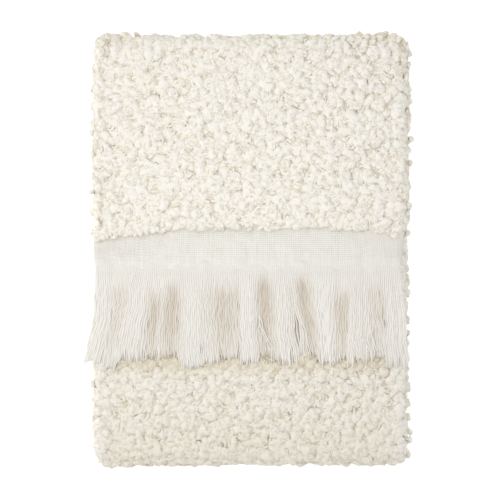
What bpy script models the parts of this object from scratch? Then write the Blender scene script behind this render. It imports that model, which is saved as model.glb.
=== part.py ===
"""A boucle throw, folded in quarters across its width and in four runs along its length.

Metres, +Z up. The throw lies on z = 0. +X runs across the fold to the thick folded side, and +Y runs
from the front edge to the back edge. The top run stops short of the front edge and ends in a plain
woven band with a fringe of loose warp yarns.
"""
import math

import bmesh
import bpy
import numpy as np

# Folded size
FOLDED_WIDTH = 0.329
FOLDED_LENGTH = 0.450

# Cloth, as it lies under its own weight
CLOTH_THICKNESS = 0.0036
LAYER_GAP = 0.0006
LAYERS = 4
RUNS = 4
RUN_GAP = 0.0010

# Top run: where the boucle stops, where the band ends and how the hidden end lies
BAND_START_Y = 0.0215
BAND_END_Y = -0.0190
HIDDEN_END_SETBACK = 0.012
SELVAGE_SETBACKS = (0.003, 0.006)
BAND_SIDES = (-0.1604, 0.1562)

# How thin the stack lies there, as a share of the boucle's thickness
SHARE_UNDER_STEP = 0.66
SHARE_AT_BAND_END = 0.42
SHARE_AT_TIPS = 0.24
STEP_HALF_LENGTH = 0.004

# Fringe
ROOT_STRIP_LENGTH = 0.003
ROOT_STRIP_GAP = 0.0003
TOP_LOCK_PITCH = 0.0029
LOWER_LOCK_PITCH = 0.0090
LOCK_FILL = 0.64
TOP_LOCK_STEPS = 4
LOWER_LOCK_STEPS = 2
LENGTH_SCATTER = 0.0018
FRINGE_SEED = 7

# Grid of the cloth
FLAT_STEPS = 5
OUTER_TURN_STEPS = 6
INNER_TURN_STEPS = 4
RUN_TURN_STEPS = 6
RUN_STEPS = 7
TOP_RUN_STATIONS = (-0.002, 0.050, 0.0895, 0.149)

# Soft, uneven lie of the whole stack
MIDDLE_BULGE = 0.0016
CORNER_DRAW = 0.0085
HEIGHT_WAVES = (
    # size, turns a metre along x, turns a metre along y, phase
    (0.0009, 2.1, 1.0, 0.6),
    (0.0007, -1.8, 1.5, 2.1),
)
SIDE_WAVE = (0.0016, 2.7, 15.0, 0.4)  # size, turns a metre along the side, turns a metre of height, phase
END_WAVE = (0.0011, 2.4, 13.0, 1.3)

LAYER_PITCH = CLOTH_THICKNESS + LAYER_GAP
STRIP_HEIGHT = LAYERS * CLOTH_THICKNESS + (LAYERS - 1) * LAYER_GAP
RUN_PITCH = STRIP_HEIGHT + RUN_GAP
RUN_TURN_RADIUS = RUN_PITCH / 2
OUTER_TURN_RADIUS = 1.5 * LAYER_PITCH
INNER_TURN_RADIUS = 0.5 * LAYER_PITCH
HALF_WIDTH = FOLDED_WIDTH / 2
HALF_LENGTH = FOLDED_LENGTH / 2
TURN_REACH = RUN_TURN_RADIUS + STRIP_HEIGHT / 2
TURN_CENTRE_Y = HALF_LENGTH - TURN_REACH
TOP_RUN_FLOOR = (RUNS - 1) * RUN_PITCH
STACK_HEIGHT = TOP_RUN_FLOOR + STRIP_HEIGHT

# Where the boucle stops, further to the front near the sides: x, and how far it is from BAND_START_Y
BAND_LINE = (
    # x, offset
    (-0.165, -0.012),
    (-0.140, -0.007),
    (-0.100, -0.004),
    (-0.080, 0.000),
    (0.040, 0.002),
    (0.110, 0.001),
    (0.165, -0.009),
)

BAND_LINE_REACH = (0.008, 0.034, 0.070)  # the line's whole offset holds this near, and fades out this far

# Tufts of the fringe from left to right. Each starts where the one before it ends.
TUFTS = (
    # root_end, tip_start, tip_end, tip_y, rise (1 lies on top, less lies sunk behind its neighbours)
    (-0.144, -0.1728, -0.1583, -0.116, 0.95),
    (-0.123, -0.1573, -0.1438, -0.123, 0.55),
    (-0.105, -0.1432, -0.1095, -0.114, 1.00),
    (-0.097, -0.1048, -0.0976, -0.112, 1.00),
    (-0.075, -0.0965, -0.0763, -0.110, 0.70),
    (-0.048, -0.0742, -0.0483, -0.121, 1.05),
    (-0.030, -0.0467, -0.0254, -0.115, 0.85),
    (-0.013, -0.0244, -0.0119, -0.111, 0.75),
    (0.006, -0.0109, 0.0067, -0.116, 1.20),
    (0.020, 0.0078, 0.0223, -0.106, 0.60),
    (0.041, 0.0265, 0.0483, -0.117, 1.05),
    (0.051, 0.0493, 0.0607, -0.110, 0.95),
    (0.070, 0.0612, 0.0706, -0.100, 0.50),
    (0.088, 0.0716, 0.0867, -0.117, 1.20),
    (0.100, 0.0877, 0.0991, -0.115, 0.85),
    (0.110, 0.1017, 0.1069, -0.119, 1.15),
    (0.126, 0.1085, 0.1313, -0.113, 1.10),
    (0.137, 0.1318, 0.1396, -0.110, 0.70),
    (0.157, 0.1401, 0.1645, -0.121, 1.00),
)
TUFT_COLUMNS = ("root_end", "tip_start", "tip_end", "tip_y", "rise")

# Finishes: base colour and roughness
BOUCLE_FINISH = ((0.86, 0.82, 0.74, 1.0), 0.95)
FRINGE_FINISH = ((0.84, 0.82, 0.77, 1.0), 0.90)


def clear_scene():
    """Remove whatever the file opened with."""
    for old in list(bpy.data.objects):
        bpy.data.objects.remove(old, do_unlink=True)


def new_collection(name):
    """A collection under the scene's own."""
    collection = bpy.data.collections.new(name)
    bpy.context.scene.collection.children.link(collection)
    return collection


def cloth_material(name, finish):
    """A plain matt Principled material."""
    colour, roughness = finish
    material = bpy.data.materials.new(name)
    material.use_nodes = True
    shader = material.node_tree.nodes["Principled BSDF"]
    shader.inputs["Base Color"].default_value = colour
    shader.inputs["Roughness"].default_value = roughness
    shader.inputs["Metallic"].default_value = 0.0
    return material


def smooth_step(value, low, high):
    """0 up to low, 1 from high on, and an even slope without corners between."""
    t = np.clip((value - low) / (high - low), 0.0, 1.0)
    return t * t * (3.0 - 2.0 * t)


def arc(centre_x, centre_h, radius, start, end, steps):
    """Points along an arc, its two ends left out, angles from +x in radians."""
    angle = np.linspace(start, end, steps + 1)[1:-1]
    return np.column_stack((centre_x + radius * np.cos(angle), centre_h + radius * np.sin(angle)))


def layer_starts():
    """Where each layer's flat part starts at the left, from the lowest layer to the top one.

    The lower two end there in their selvages. The upper two meet in a tight fold.
    """
    outline_x = -HALF_WIDTH + CLOTH_THICKNESS / 2
    folded = outline_x + INNER_TURN_RADIUS
    return (outline_x + SELVAGE_SETBACKS[0], outline_x + SELVAGE_SETBACKS[1], folded, folded)


def layer_end():
    """Where every layer's flat part ends at the right."""
    return HALF_WIDTH - CLOTH_THICKNESS / 2 - OUTER_TURN_RADIUS


def quarter_fold(layers_x):
    """The middle line of the cloth across the fold: x, and the height from the stack's middle.

    The cloth is folded in half twice. From the lowest layer it turns round the whole stack at the right
    into the top layer, turns tightly at the left into the third, and turns at the right, inside the
    first turn, into the second. layers_x holds the points along each flat layer from left to right.
    """
    flats = [
        np.column_stack((x, np.full(len(x), (layer - 1.5) * LAYER_PITCH)))
        for layer, x in enumerate(layers_x)
    ]
    left_x = layers_x[-1][0]
    quarter = math.pi / 2
    return np.vstack((
        flats[0],
        arc(layer_end(), 0.0, OUTER_TURN_RADIUS, -quarter, quarter, OUTER_TURN_STEPS),
        flats[3][::-1],
        arc(left_x, LAYER_PITCH, INNER_TURN_RADIUS, quarter, 3 * quarter, INNER_TURN_STEPS),
        flats[2],
        arc(layer_end(), 0.0, INNER_TURN_RADIUS, quarter, -quarter, INNER_TURN_STEPS),
        flats[1][::-1],
    ))


def straight_run(start_y, end_y, height, facing, stations):
    """Stations of one straight run: y, z and the direction (y, z) in which the top layer faces."""
    low, high = sorted((start_y, end_y))
    between = sorted((station for station in stations if low < station < high), reverse=start_y > end_y)
    y = np.array([start_y, *between, end_y])
    return np.column_stack((y, np.full(len(y), height), np.zeros(len(y)), np.full(len(y), facing)))


def run_turn(centre_y, centre_z, side, facing):
    """Stations of one U-turn downwards at the back (side 1) or the front (side -1), its ends left out."""
    down = np.linspace(0.0, math.pi, RUN_TURN_STEPS + 1)[1:-1]
    out_y = side * np.sin(down)
    out_z = np.cos(down)
    y = centre_y + RUN_TURN_RADIUS * out_y
    z = centre_z + RUN_TURN_RADIUS * out_z
    return np.column_stack((y, z, facing * out_y, facing * out_z))


def run_path():
    """The four runs and three U-turns of the stack, from the band's edge to the hidden end."""
    heights = [STRIP_HEIGHT / 2 + (RUNS - 1 - run) * RUN_PITCH for run in range(RUNS)]
    even = np.linspace(-TURN_CENTRE_Y, TURN_CENTRE_Y, RUN_STEPS + 1)[1:-1]
    around_step = (BAND_START_Y - STEP_HALF_LENGTH, BAND_START_Y + STEP_HALF_LENGTH)
    hidden_end = -HALF_LENGTH + HIDDEN_END_SETBACK
    pieces = [straight_run(BAND_END_Y, TURN_CENTRE_Y, heights[0], 1.0, around_step + TOP_RUN_STATIONS)]
    for run in range(1, RUNS):
        back = run % 2 == 1
        facing = -1.0 if back else 1.0
        side = 1.0 if back else -1.0
        turn_z = (heights[run - 1] + heights[run]) / 2
        pieces.append(run_turn(side * TURN_CENTRE_Y, turn_z, side, -facing * side))
        end_y = hidden_end if run == RUNS - 1 else -side * TURN_CENTRE_Y
        pieces.append(straight_run(side * TURN_CENTRE_Y, end_y, heights[run], facing, even))
    return np.vstack(pieces)


def folded_sheet(name, across, along):
    """The open middle surface: every point across the fold, carried along the path of the runs."""
    x = across[:, 0]
    h = across[:, 1]
    y = along[:, 0] + h[:, None] * along[:, 2]
    z = along[:, 1] + h[:, None] * along[:, 3]
    points = np.stack((np.broadcast_to(x[:, None], y.shape), y, z), axis=-1).reshape(-1, 3)
    columns = len(along)
    first = (np.arange(len(across) - 1)[:, None] * columns + np.arange(columns - 1)).ravel()
    quads = np.column_stack((first, first + columns, first + columns + 1, first + 1))
    mesh = bpy.data.meshes.new(name)
    mesh.from_pydata(points.tolist(), [], quads.tolist())
    return bpy.data.objects.new(name, mesh)


def give_thickness(sheet, collection):
    """Thicken an open sheet evenly on both sides and keep the result as its mesh."""
    collection.objects.link(sheet)
    solidify = sheet.modifiers.new("Thickness", "SOLIDIFY")
    solidify.thickness = CLOTH_THICKNESS
    solidify.offset = 0.0
    solidify.use_rim = True
    depsgraph = bpy.context.evaluated_depsgraph_get()
    solid = bpy.data.meshes.new_from_object(sheet.evaluated_get(depsgraph))
    solid.name = sheet.name
    sheet.modifiers.clear()
    sheet.data = solid


def get_points(mesh):
    """All points of a mesh as one array."""
    points = np.empty(len(mesh.vertices) * 3)
    mesh.vertices.foreach_get("co", points)
    return points.reshape(-1, 3)


def set_points(mesh, points):
    """Put an array of points back into the mesh."""
    mesh.vertices.foreach_set("co", points.ravel())
    mesh.update()


def lay_band(points):
    """Let the top run lie thin and narrow where it is band, and curve the line where the boucle stops."""
    x, y, z = points.T
    above = z - TOP_RUN_FLOOR
    in_top_run = above > -RUN_GAP / 2
    line_x, line_offset = np.array(BAND_LINE).T
    near, far_front, far_back = BAND_LINE_REACH
    near_step = smooth_step(y, BAND_START_Y - far_front, BAND_START_Y - near)
    near_step *= 1.0 - smooth_step(y, BAND_START_Y + near, BAND_START_Y + far_back)
    shifted_y = y + near_step * np.interp(x, line_x, line_offset)

    step = smooth_step(y, BAND_START_Y - STEP_HALF_LENGTH, BAND_START_Y + STEP_HALF_LENGTH)
    settling = smooth_step(y, BAND_END_Y, BAND_START_Y - STEP_HALF_LENGTH)
    share = SHARE_AT_BAND_END + (SHARE_UNDER_STEP - SHARE_AT_BAND_END) * settling
    share = share + (1.0 - share) * step
    low_side, high_side = BAND_SIDES
    narrow_x = low_side + (x + HALF_WIDTH) / FOLDED_WIDTH * (high_side - low_side)
    laid_x = narrow_x + (x - narrow_x) * step

    laid = np.column_stack((laid_x, shifted_y, TOP_RUN_FLOOR + above * share))
    return np.where(in_top_run[:, None], laid, points)


def edge_wave(wave, along, z):
    """How far an edge wanders outwards, along the edge and up the stack."""
    size, turns_along, turns_up, phase = wave
    return size * np.sin(2 * math.pi * (turns_along * along + turns_up * z) + phase)


def lie_softly(points):
    """Make the whole stack a little uneven: heights, sides, ends and corners, smoothly and in order."""
    x, y, z = points.T
    level = z / STACK_HEIGHT
    new_z = z.copy()
    for size, along_x, along_y, phase in HEIGHT_WAVES:
        new_z += size * level * np.sin(2 * math.pi * (along_x * x + along_y * y) + phase)

    side = x / HALF_WIDTH
    end = y / HALF_LENGTH
    bulge = MIDDLE_BULGE * np.sin(math.pi * np.clip(level, 0.0, 1.0))
    past_turn = np.clip((np.abs(y) - TURN_CENTRE_Y) / TURN_REACH, 0.0, 1.0)
    drawn = CORNER_DRAW * past_turn ** 2
    new_x = x + side * (bulge - drawn + edge_wave(SIDE_WAVE, y, z))
    new_y = y + end * (bulge + edge_wave(END_WAVE, x, z))
    return np.column_stack((new_x, new_y, new_z))


def make_throw(collection):
    """The blanket: boucle and band in one cloth."""
    even_x = np.linspace(layer_starts()[-1], layer_end(), FLAT_STEPS + 1)[1:]
    layers_x = [np.concatenate(([start], even_x)) for start in layer_starts()]
    throw = folded_sheet("boucle_throw", quarter_fold(layers_x), run_path())
    give_thickness(throw, collection)
    set_points(throw.data, lie_softly(lay_band(get_points(throw.data))))
    return throw


def tuft_table():
    """The tufts with their root_start, one dictionary a row."""
    rows = []
    root_start = BAND_SIDES[0]
    for values in TUFTS:
        row = dict(zip(TUFT_COLUMNS, values))
        row["root_start"] = root_start
        root_start = row["root_end"]
        rows.append(row)
    return rows


def band_to_fold_x(x):
    """The place across the even fold that lies at x once the band is laid."""
    low_side, high_side = BAND_SIDES
    return (x - low_side) / (high_side - low_side) * FOLDED_WIDTH - HALF_WIDTH


def lock_edges(left_x, pitch):
    """Points along a flat layer where locks start and end, whole locks in each tuft."""
    edges = [left_x]
    for row in tuft_table():
        start = max(band_to_fold_x(row["root_start"]), left_x)
        end = min(band_to_fold_x(row["root_end"]), layer_end())
        count = max(1, round((end - start) / pitch))
        width = (end - start) / count
        for lock in range(count):
            middle = start + (lock + 0.5) * width
            edges += [middle - width * LOCK_FILL / 2, middle + width * LOCK_FILL / 2]
    return np.array(edges + [layer_end()])


def lock_segments(layers_x):
    """Which segments of the folded line carry a lock, and whether it is one of the top layer's."""
    lowest, second, third, top = [len(x) - 1 for x in layers_x]
    stretches = (
        # segments, turn after them, on top
        (lowest, 0, False),
        (OUTER_TURN_STEPS, 0, True),
        (top, INNER_TURN_STEPS, True),
        (third, INNER_TURN_STEPS, False),
        (second, 0, False),
    )
    locks = {}
    start = 0
    for segments, turn, on_top in stretches:
        locks.update({start + k: on_top for k in range(1, segments, 2)})
        start += segments + turn
    return locks


def make_fringe(collection):
    """The loose warp yarns: a root strip across the fold with a lock pulled out of every other face."""
    pitches = (LOWER_LOCK_PITCH, LOWER_LOCK_PITCH, LOWER_LOCK_PITCH, TOP_LOCK_PITCH)
    layers_x = [lock_edges(start, pitch) for start, pitch in zip(layer_starts(), pitches)]
    across = quarter_fold(layers_x)
    back_y = BAND_END_Y - ROOT_STRIP_GAP
    height = STRIP_HEIGHT / 2 + TOP_RUN_FLOOR
    along = straight_run(back_y - ROOT_STRIP_LENGTH, back_y, height, 1.0, ())
    fringe = folded_sheet("warp_fringe", across, along)
    give_thickness(fringe, collection)
    set_points(fringe.data, lay_band(get_points(fringe.data)))
    pull_locks(fringe.data, len(across) * len(along), lock_segments(layers_x))
    set_points(fringe.data, lie_softly(get_points(fringe.data)))
    return fringe


def pull_locks(mesh, sheet_points, locks):
    """Extrude the strip's front faces into locks that part, lean and settle as their tuft does."""
    scatter = np.random.default_rng(FRINGE_SEED)
    bm = bmesh.new()
    bm.from_mesh(mesh)
    bm.verts.ensure_lookup_table()
    front_y = min(vert.co.y for vert in bm.verts)
    fronts = {}
    for face in bm.faces:
        if all(abs(vert.co.y - front_y) < 1e-6 for vert in face.verts):
            segment = min(vert.index % sheet_points for vert in face.verts) // 2
            if segment in locks:
                fronts[segment] = face
    rows = tuft_table()
    for segment in sorted(fronts):
        face = fronts[segment]
        roots = [vert.co.copy() for vert in face.verts]
        middle_x = sum(root.x for root in roots) / len(roots)
        row = next((r for r in rows if r["root_start"] <= middle_x < r["root_end"]), rows[-1])
        steps = TOP_LOCK_STEPS if locks[segment] else LOWER_LOCK_STEPS
        length = front_y - row["tip_y"] + scatter.uniform(-LENGTH_SCATTER, LENGTH_SCATTER)
        grown = face
        for step in range(1, steps + 1):
            grown = bmesh.ops.extrude_discrete_faces(bm, faces=[grown])["faces"][0]
            move_lock(grown, roots, middle_x, row, step / steps, length)
    bm.to_mesh(mesh)
    bm.free()


def move_lock(face, roots, middle_x, row, share, length):
    """Put the four corners of a lock's end at a share of its length."""
    root_width = row["root_end"] - row["root_start"]
    part = (middle_x - row["root_start"]) / root_width
    tip_x = row["tip_start"] + part * (row["tip_end"] - row["tip_start"])
    spread = (row["tip_end"] - row["tip_start"]) / root_width
    lean = share ** 1.3
    width = min(1.0 + (spread - 1.0) * lean, 1.0) * (1.0 - 0.25 * share)
    tip_share = SHARE_AT_TIPS * row["rise"] / SHARE_AT_BAND_END
    height = 1.0 + (tip_share - 1.0) * share
    for vert, root in zip(face.verts, roots):
        vert.co.x = middle_x + (tip_x - middle_x) * lean + (root.x - middle_x) * width
        vert.co.y = root.y - length * share
        vert.co.z = TOP_RUN_FLOOR + (root.z - TOP_RUN_FLOOR) * height


def stand_on_origin(pieces):
    """Move all pieces together so that the origin is under the middle of the whole throw."""
    everything = np.vstack([get_points(piece.data) for piece in pieces])
    low = everything.min(axis=0)
    high = everything.max(axis=0)
    middle = np.array(((low[0] + high[0]) / 2, (low[1] + high[1]) / 2, low[2]))
    for piece in pieces:
        set_points(piece.data, get_points(piece.data) - middle)


def main():
    """Build the folded throw."""
    clear_scene()
    collection = new_collection("boucle_fringe_throw")
    throw = make_throw(collection)
    fringe = make_fringe(collection)
    stand_on_origin((throw, fringe))
    throw.data.materials.append(cloth_material("Ivory boucle", BOUCLE_FINISH))
    fringe.data.materials.append(cloth_material("Ivory warp yarn", FRINGE_FINISH))


main()
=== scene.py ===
# %% [markdown]
# # A folded boucle throw
#
# A boucle throw is one woven cloth. Most of it is covered in puffs of soft, thick yarn, and each end is a
# plain woven band whose loose warp yarns hang out as a fringe. Here it lies folded on a table, seen from
# above. The script starts from the measured solids of the folded throw, and dresses them.

# %% Load the solids
import math

import bpy
import numpy as np
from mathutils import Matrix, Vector


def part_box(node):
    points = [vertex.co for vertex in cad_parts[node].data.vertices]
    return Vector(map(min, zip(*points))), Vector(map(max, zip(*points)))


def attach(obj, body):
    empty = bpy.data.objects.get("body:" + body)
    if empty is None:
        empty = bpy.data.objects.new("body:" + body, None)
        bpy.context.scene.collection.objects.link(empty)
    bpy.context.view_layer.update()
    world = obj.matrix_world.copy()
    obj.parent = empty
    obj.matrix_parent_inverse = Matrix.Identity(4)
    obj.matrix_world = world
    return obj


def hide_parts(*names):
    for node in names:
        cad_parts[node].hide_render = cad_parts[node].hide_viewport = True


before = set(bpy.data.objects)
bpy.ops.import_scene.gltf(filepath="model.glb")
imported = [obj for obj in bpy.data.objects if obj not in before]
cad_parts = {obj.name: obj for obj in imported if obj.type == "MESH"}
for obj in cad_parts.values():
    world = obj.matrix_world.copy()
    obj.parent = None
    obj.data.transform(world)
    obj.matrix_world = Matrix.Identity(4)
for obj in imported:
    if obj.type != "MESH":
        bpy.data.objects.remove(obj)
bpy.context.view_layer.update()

# %% [markdown]
# ## Sizes
#
# All sizes are in metres. They are those of the folded solids, so that the cloth made here lies in the
# same folds: first in half twice across its width, then back and forth in four runs along its length.

# %% Sizes of the fold
FOLDED_WIDTH = 0.329
FOLDED_LENGTH = 0.450
LAYER_THICKNESS = 0.0036
LAYER_GAP = 0.0006
LAYERS = 4
RUNS = 4
RUN_GAP = 0.0010
LAYER_PITCH = LAYER_THICKNESS + LAYER_GAP
STRIP_HEIGHT = LAYERS * LAYER_THICKNESS + (LAYERS - 1) * LAYER_GAP
RUN_PITCH = STRIP_HEIGHT + RUN_GAP
RUN_TURN_RADIUS = RUN_PITCH / 2
OUTER_TURN_RADIUS = 1.5 * LAYER_PITCH
INNER_TURN_RADIUS = 0.5 * LAYER_PITCH
HALF_WIDTH = FOLDED_WIDTH / 2
HALF_LENGTH = FOLDED_LENGTH / 2
TURN_REACH = RUN_TURN_RADIUS + STRIP_HEIGHT / 2
TURN_CENTRE_Y = HALF_LENGTH - TURN_REACH
TOP_RUN_FLOOR = (RUNS - 1) * RUN_PITCH
STACK_HEIGHT = TOP_RUN_FLOOR + STRIP_HEIGHT
SKIN = LAYER_THICKNESS / 2
BAND_START_Y = 0.0215
BAND_END_Y = -0.0190
HIDDEN_END_SETBACK = 0.012
SELVAGE_SETBACKS = (0.003, 0.006)
print(f"{RUNS} runs of {LAYERS} layers, {STACK_HEIGHT:.4f} m high")

# %% [markdown]
# ## The line across the fold and the path along it
#
# A folded cloth is a product of two lines. One runs across the fold, from selvage to selvage: four flat
# layers joined by two nested turns at the right and a tight one at the left. The other runs along the
# length: four straight runs joined by U-turns. Each is kept as a table against its own length, so any
# point of the cloth is found from two lengths, `u` across and `v` along, as a weaver would measure it.

# %% Tables of the two lines
ARC_STEPS = 24
FLAT_STEPS = 40


def flat(start, end, other, facing):
    """Points of a straight stretch: place along, place across, and the unit direction it faces."""
    along = np.linspace(start, end, FLAT_STEPS + 1)
    return np.column_stack((along, *(np.full_like(along, value) for value in (other, 0.0, facing))))


def turn(centre, radius, start, end, facing):
    """Points of an arc from angle start to end, facing out of it (1) or into it (-1)."""
    angle = np.linspace(start, end, ARC_STEPS + 1)
    out = np.column_stack((np.cos(angle), np.sin(angle)))
    return np.column_stack((np.array(centre) + radius * out, facing * out))


def table_of(stretches):
    """Join stretches end to end and put the length so far in front of each point."""
    rows = np.vstack([stretch if k == 0 else stretch[1:] for k, stretch in enumerate(stretches)])
    steps = np.linalg.norm(np.diff(rows[:, :2], axis=0), axis=1)
    length = np.concatenate(([0.0], np.cumsum(steps)))
    ends = np.cumsum([0.0] + [np.linalg.norm(np.diff(s[:, :2], axis=0), axis=1).sum() for s in stretches])
    return np.column_stack((length, rows)), ends


CIRCLE = 2 * math.pi
QUARTER = CIRCLE / 4
outline_x = -HALF_WIDTH + SKIN
left_x = outline_x + INNER_TURN_RADIUS
right_x = HALF_WIDTH - SKIN - OUTER_TURN_RADIUS
heights = [(layer - 1.5) * LAYER_PITCH for layer in range(LAYERS)]
ACROSS, ACROSS_ENDS = table_of((
    flat(outline_x + SELVAGE_SETBACKS[0], right_x, heights[0], -1.0),
    turn((right_x, 0.0), OUTER_TURN_RADIUS, -QUARTER, QUARTER, 1.0),
    flat(right_x, left_x, heights[3], 1.0),
    turn((left_x, LAYER_PITCH), INNER_TURN_RADIUS, QUARTER, 3 * QUARTER, 1.0),
    flat(left_x, right_x, heights[2], -1.0),
    turn((right_x, 0.0), INNER_TURN_RADIUS, QUARTER, -QUARTER, -1.0),
    flat(right_x, outline_x + SELVAGE_SETBACKS[1], heights[1], 1.0),
))

run_heights = [STRIP_HEIGHT / 2 + (RUNS - 1 - run) * RUN_PITCH for run in range(RUNS)]
stretches = [flat(BAND_END_Y, TURN_CENTRE_Y, run_heights[0], 1.0)]
for run in range(1, RUNS):
    side = 1.0 if run % 2 == 1 else -1.0
    centre = (side * TURN_CENTRE_Y, (run_heights[run - 1] + run_heights[run]) / 2)
    stretches.append(turn(centre, RUN_TURN_RADIUS, QUARTER, QUARTER - side * math.pi, side))
    end_y = -HALF_LENGTH + HIDDEN_END_SETBACK if run == RUNS - 1 else -side * TURN_CENTRE_Y
    stretches.append(flat(side * TURN_CENTRE_Y, end_y, run_heights[run], -side))
ALONG, ALONG_ENDS = table_of(stretches)
CLOTH_WIDTH = ACROSS[-1, 0]
CLOTH_LENGTH = ALONG[-1, 0]
BAND_LENGTH = BAND_START_Y - BAND_END_Y
print(f"flat cloth {CLOTH_WIDTH:.3f} by {CLOTH_LENGTH:.3f} m, band {BAND_LENGTH:.3f} m of it")

# %% [markdown]
# ## From two lengths to a place in the pile
#
# `place` gives the point of the cloth at (u, v), lifted off its middle surface by `lift`. The even stack
# is then laid as it really lies: thin and a little narrow where it is band, with a curved edge to the
# boucle, softly uneven, and drawn in at the corners. Cloth simulation could do this, but would move the
# fold off the solids. Here every step moves points smoothly and in order, so the layers never pass through
# each other.

# %% Press the band


def smooth_step(value, low, high):
    """0 up to low, 1 from high on, and 3t^2 - 2t^3 between."""
    t = np.clip((value - low) / (high - low), 0.0, 1.0)
    return t * t * (3.0 - 2.0 * t)


BAND_SIDES = (-0.1688, 0.1628)
# the band's layers are pressed to these shares of their height
SHARE_UNDER_STEP = 0.66
SHARE_AT_BAND_END = 0.42
STEP_HALF_LENGTH = 0.004
BAND_LINE = np.array((
    # x, how far the boucle's edge is from BAND_START_Y
    (-0.165, -0.0095),
    (-0.140, -0.0060),
    (-0.100, -0.0010),
    (-0.080, 0.0015),
    (0.040, 0.0030),
    (0.110, 0.0025),
    (0.165, -0.0065),
))
# how far in front of the edge and behind it the curve is held, and fades out
BAND_LINE_REACH = (0.008, 0.034, 0.070)
# size, turns a metre and phase
BAND_RIPPLES = ((0.00035, 38.0, 0.4), (0.00022, 67.0, 2.0))


def lay_band(x, y, z, top):
    """Press the band's layers together, narrow them, and curve the line where the boucle stops."""
    above = z - TOP_RUN_FLOOR
    near, far_front, far_back = BAND_LINE_REACH
    hold = smooth_step(y, BAND_START_Y - far_front, BAND_START_Y - near)
    hold = hold * (1.0 - smooth_step(y, BAND_START_Y + near, BAND_START_Y + far_back))
    moved_y = y + hold * np.interp(x, BAND_LINE[:, 0], BAND_LINE[:, 1])
    step = smooth_step(y, BAND_START_Y - STEP_HALF_LENGTH, BAND_START_Y + STEP_HALF_LENGTH)
    settling = smooth_step(y, BAND_END_Y, BAND_START_Y - STEP_HALF_LENGTH)
    share = SHARE_AT_BAND_END + (SHARE_UNDER_STEP - SHARE_AT_BAND_END) * settling
    share = share + (1.0 - share) * step
    low_side, high_side = BAND_SIDES
    narrow_x = low_side + (x + HALF_WIDTH) / FOLDED_WIDTH * (high_side - low_side)
    ripple = sum(size * np.sin(CIRCLE * turns * x + phase) for size, turns, phase in BAND_RIPPLES)
    ripple = ripple * np.clip(above / STRIP_HEIGHT, 0.0, 1.0) * (1.0 - step)
    return (
        np.where(top, narrow_x + (x - narrow_x) * step, x),
        np.where(top, moved_y, y),
        np.where(top, TOP_RUN_FLOOR + above * share + ripple, z),
    )


# %% Lay the pile softly
MIDDLE_BULGE = 0.0016
CORNER_DRAWS = (0.0050, 0.0085)
# size, turns a metre along x and y, and phase
HEIGHT_WAVES = ((0.0009, 2.1, 1.0, 0.6), (0.0007, -1.8, 1.5, 2.1))
# size, turns a metre along the edge and up the stack, and phase
SIDE_WAVE = (0.0016, 2.7, 15.0, 0.4)
END_WAVE = (0.0005, 2.4, 13.0, 1.3)
# the solids' outline includes the puffs, so the cloth is drawn in to leave them room
PUFF_ROOM = 0.0050
END_ROOM = 0.0025
# under the band, the lower runs' left side lies further in
LEFT_DRAW = 0.0045
LEFT_DRAW_REACH = (-0.124, -0.106, 0.000, 0.016)


def edge_wave(wave, along, z):
    """How far an edge wanders: size times the sine of turns along the edge and turns up the stack."""
    size, turns_along, turns_up, phase = wave
    return size * np.sin(CIRCLE * (turns_along * along + turns_up * z) + phase)


def lie_softly(x, y, z):
    """Long waves in height, wandering sides and ends, a fuller middle and drawn-in corners."""
    level = z / STACK_HEIGHT
    new_z = z + level * sum(
        size * np.sin(CIRCLE * (along_x * x + along_y * y) + phase)
        for size, along_x, along_y, phase in HEIGHT_WAVES
    )
    side = x / HALF_WIDTH
    end = y / HALF_LENGTH
    bulge = MIDDLE_BULGE * np.sin(math.pi * np.clip(level, 0.0, 1.0))
    past_turn = np.clip((np.abs(y) - TURN_CENTRE_Y) / TURN_REACH, 0.0, 1.0)
    drawn = np.where(y < 0.0, *CORNER_DRAWS) * past_turn ** 2
    low_end, low, high, high_end = LEFT_DRAW_REACH
    under_band = smooth_step(y, low_end, low) * (1.0 - smooth_step(y, high, high_end)) * (z < TOP_RUN_FLOOR)
    room = PUFF_ROOM + LEFT_DRAW * under_band * (x < 0.0)
    new_x = x + side * (bulge - drawn - room + edge_wave(SIDE_WAVE, y, z))
    new_y = y + end * (bulge - END_ROOM + edge_wave(END_WAVE, x, z))
    return new_x, new_y, new_z


# %% Find a place in the pile


def place_unshifted(u, v, lift):
    """Where the cloth's point (u, v), lifted off its middle, lies in the softly folded pile."""
    u, v, lift = np.broadcast_arrays(u, v, lift)
    x, h, face_x, face_h = (np.interp(u, ACROSS[:, 0], ACROSS[:, k]) for k in range(1, 5))
    y, z, up_y, up_z = (np.interp(v, ALONG[:, 0], ALONG[:, k]) for k in range(1, 5))
    height = h + face_h * lift
    in_top_run = v < ALONG_ENDS[1]
    points = lie_softly(*lay_band(x + face_x * lift, y + height * up_y, z + height * up_z, in_top_run))
    return np.stack(points, axis=-1)


outline = place_unshifted(ACROSS[:, None, 0], ALONG[None, :, 0], SKIN).reshape(-1, 3)
cloth_low, cloth_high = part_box("boucle_throw")
SHIFT = (np.array(cloth_low) + np.array(cloth_high)) / 2 - (outline.min(axis=0) + outline.max(axis=0)) / 2
SHIFT[2] = 0.0
print("solids' origin is off the fold's middle by", SHIFT.round(4))


def place(u, v, lift=0.0):
    """The cloth's point (u, v), lifted off its middle surface, in the solids' own frame."""
    return place_unshifted(u, v, lift) + SHIFT


# %% [markdown]
# ## Meshes from arrays
#
# Thousands of puffs and hundreds of yarns are far too many for one object each. Their points are worked
# out as whole arrays and put into a mesh in one go, with a UV map and named values that materials read.

# %% Mesh helpers
ROOT = "root"


def object_of(name, data):
    """A new object in the scene that shows the data."""
    made = bpy.data.objects.new(name, data)
    bpy.context.scene.collection.objects.link(made)
    return made


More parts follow.
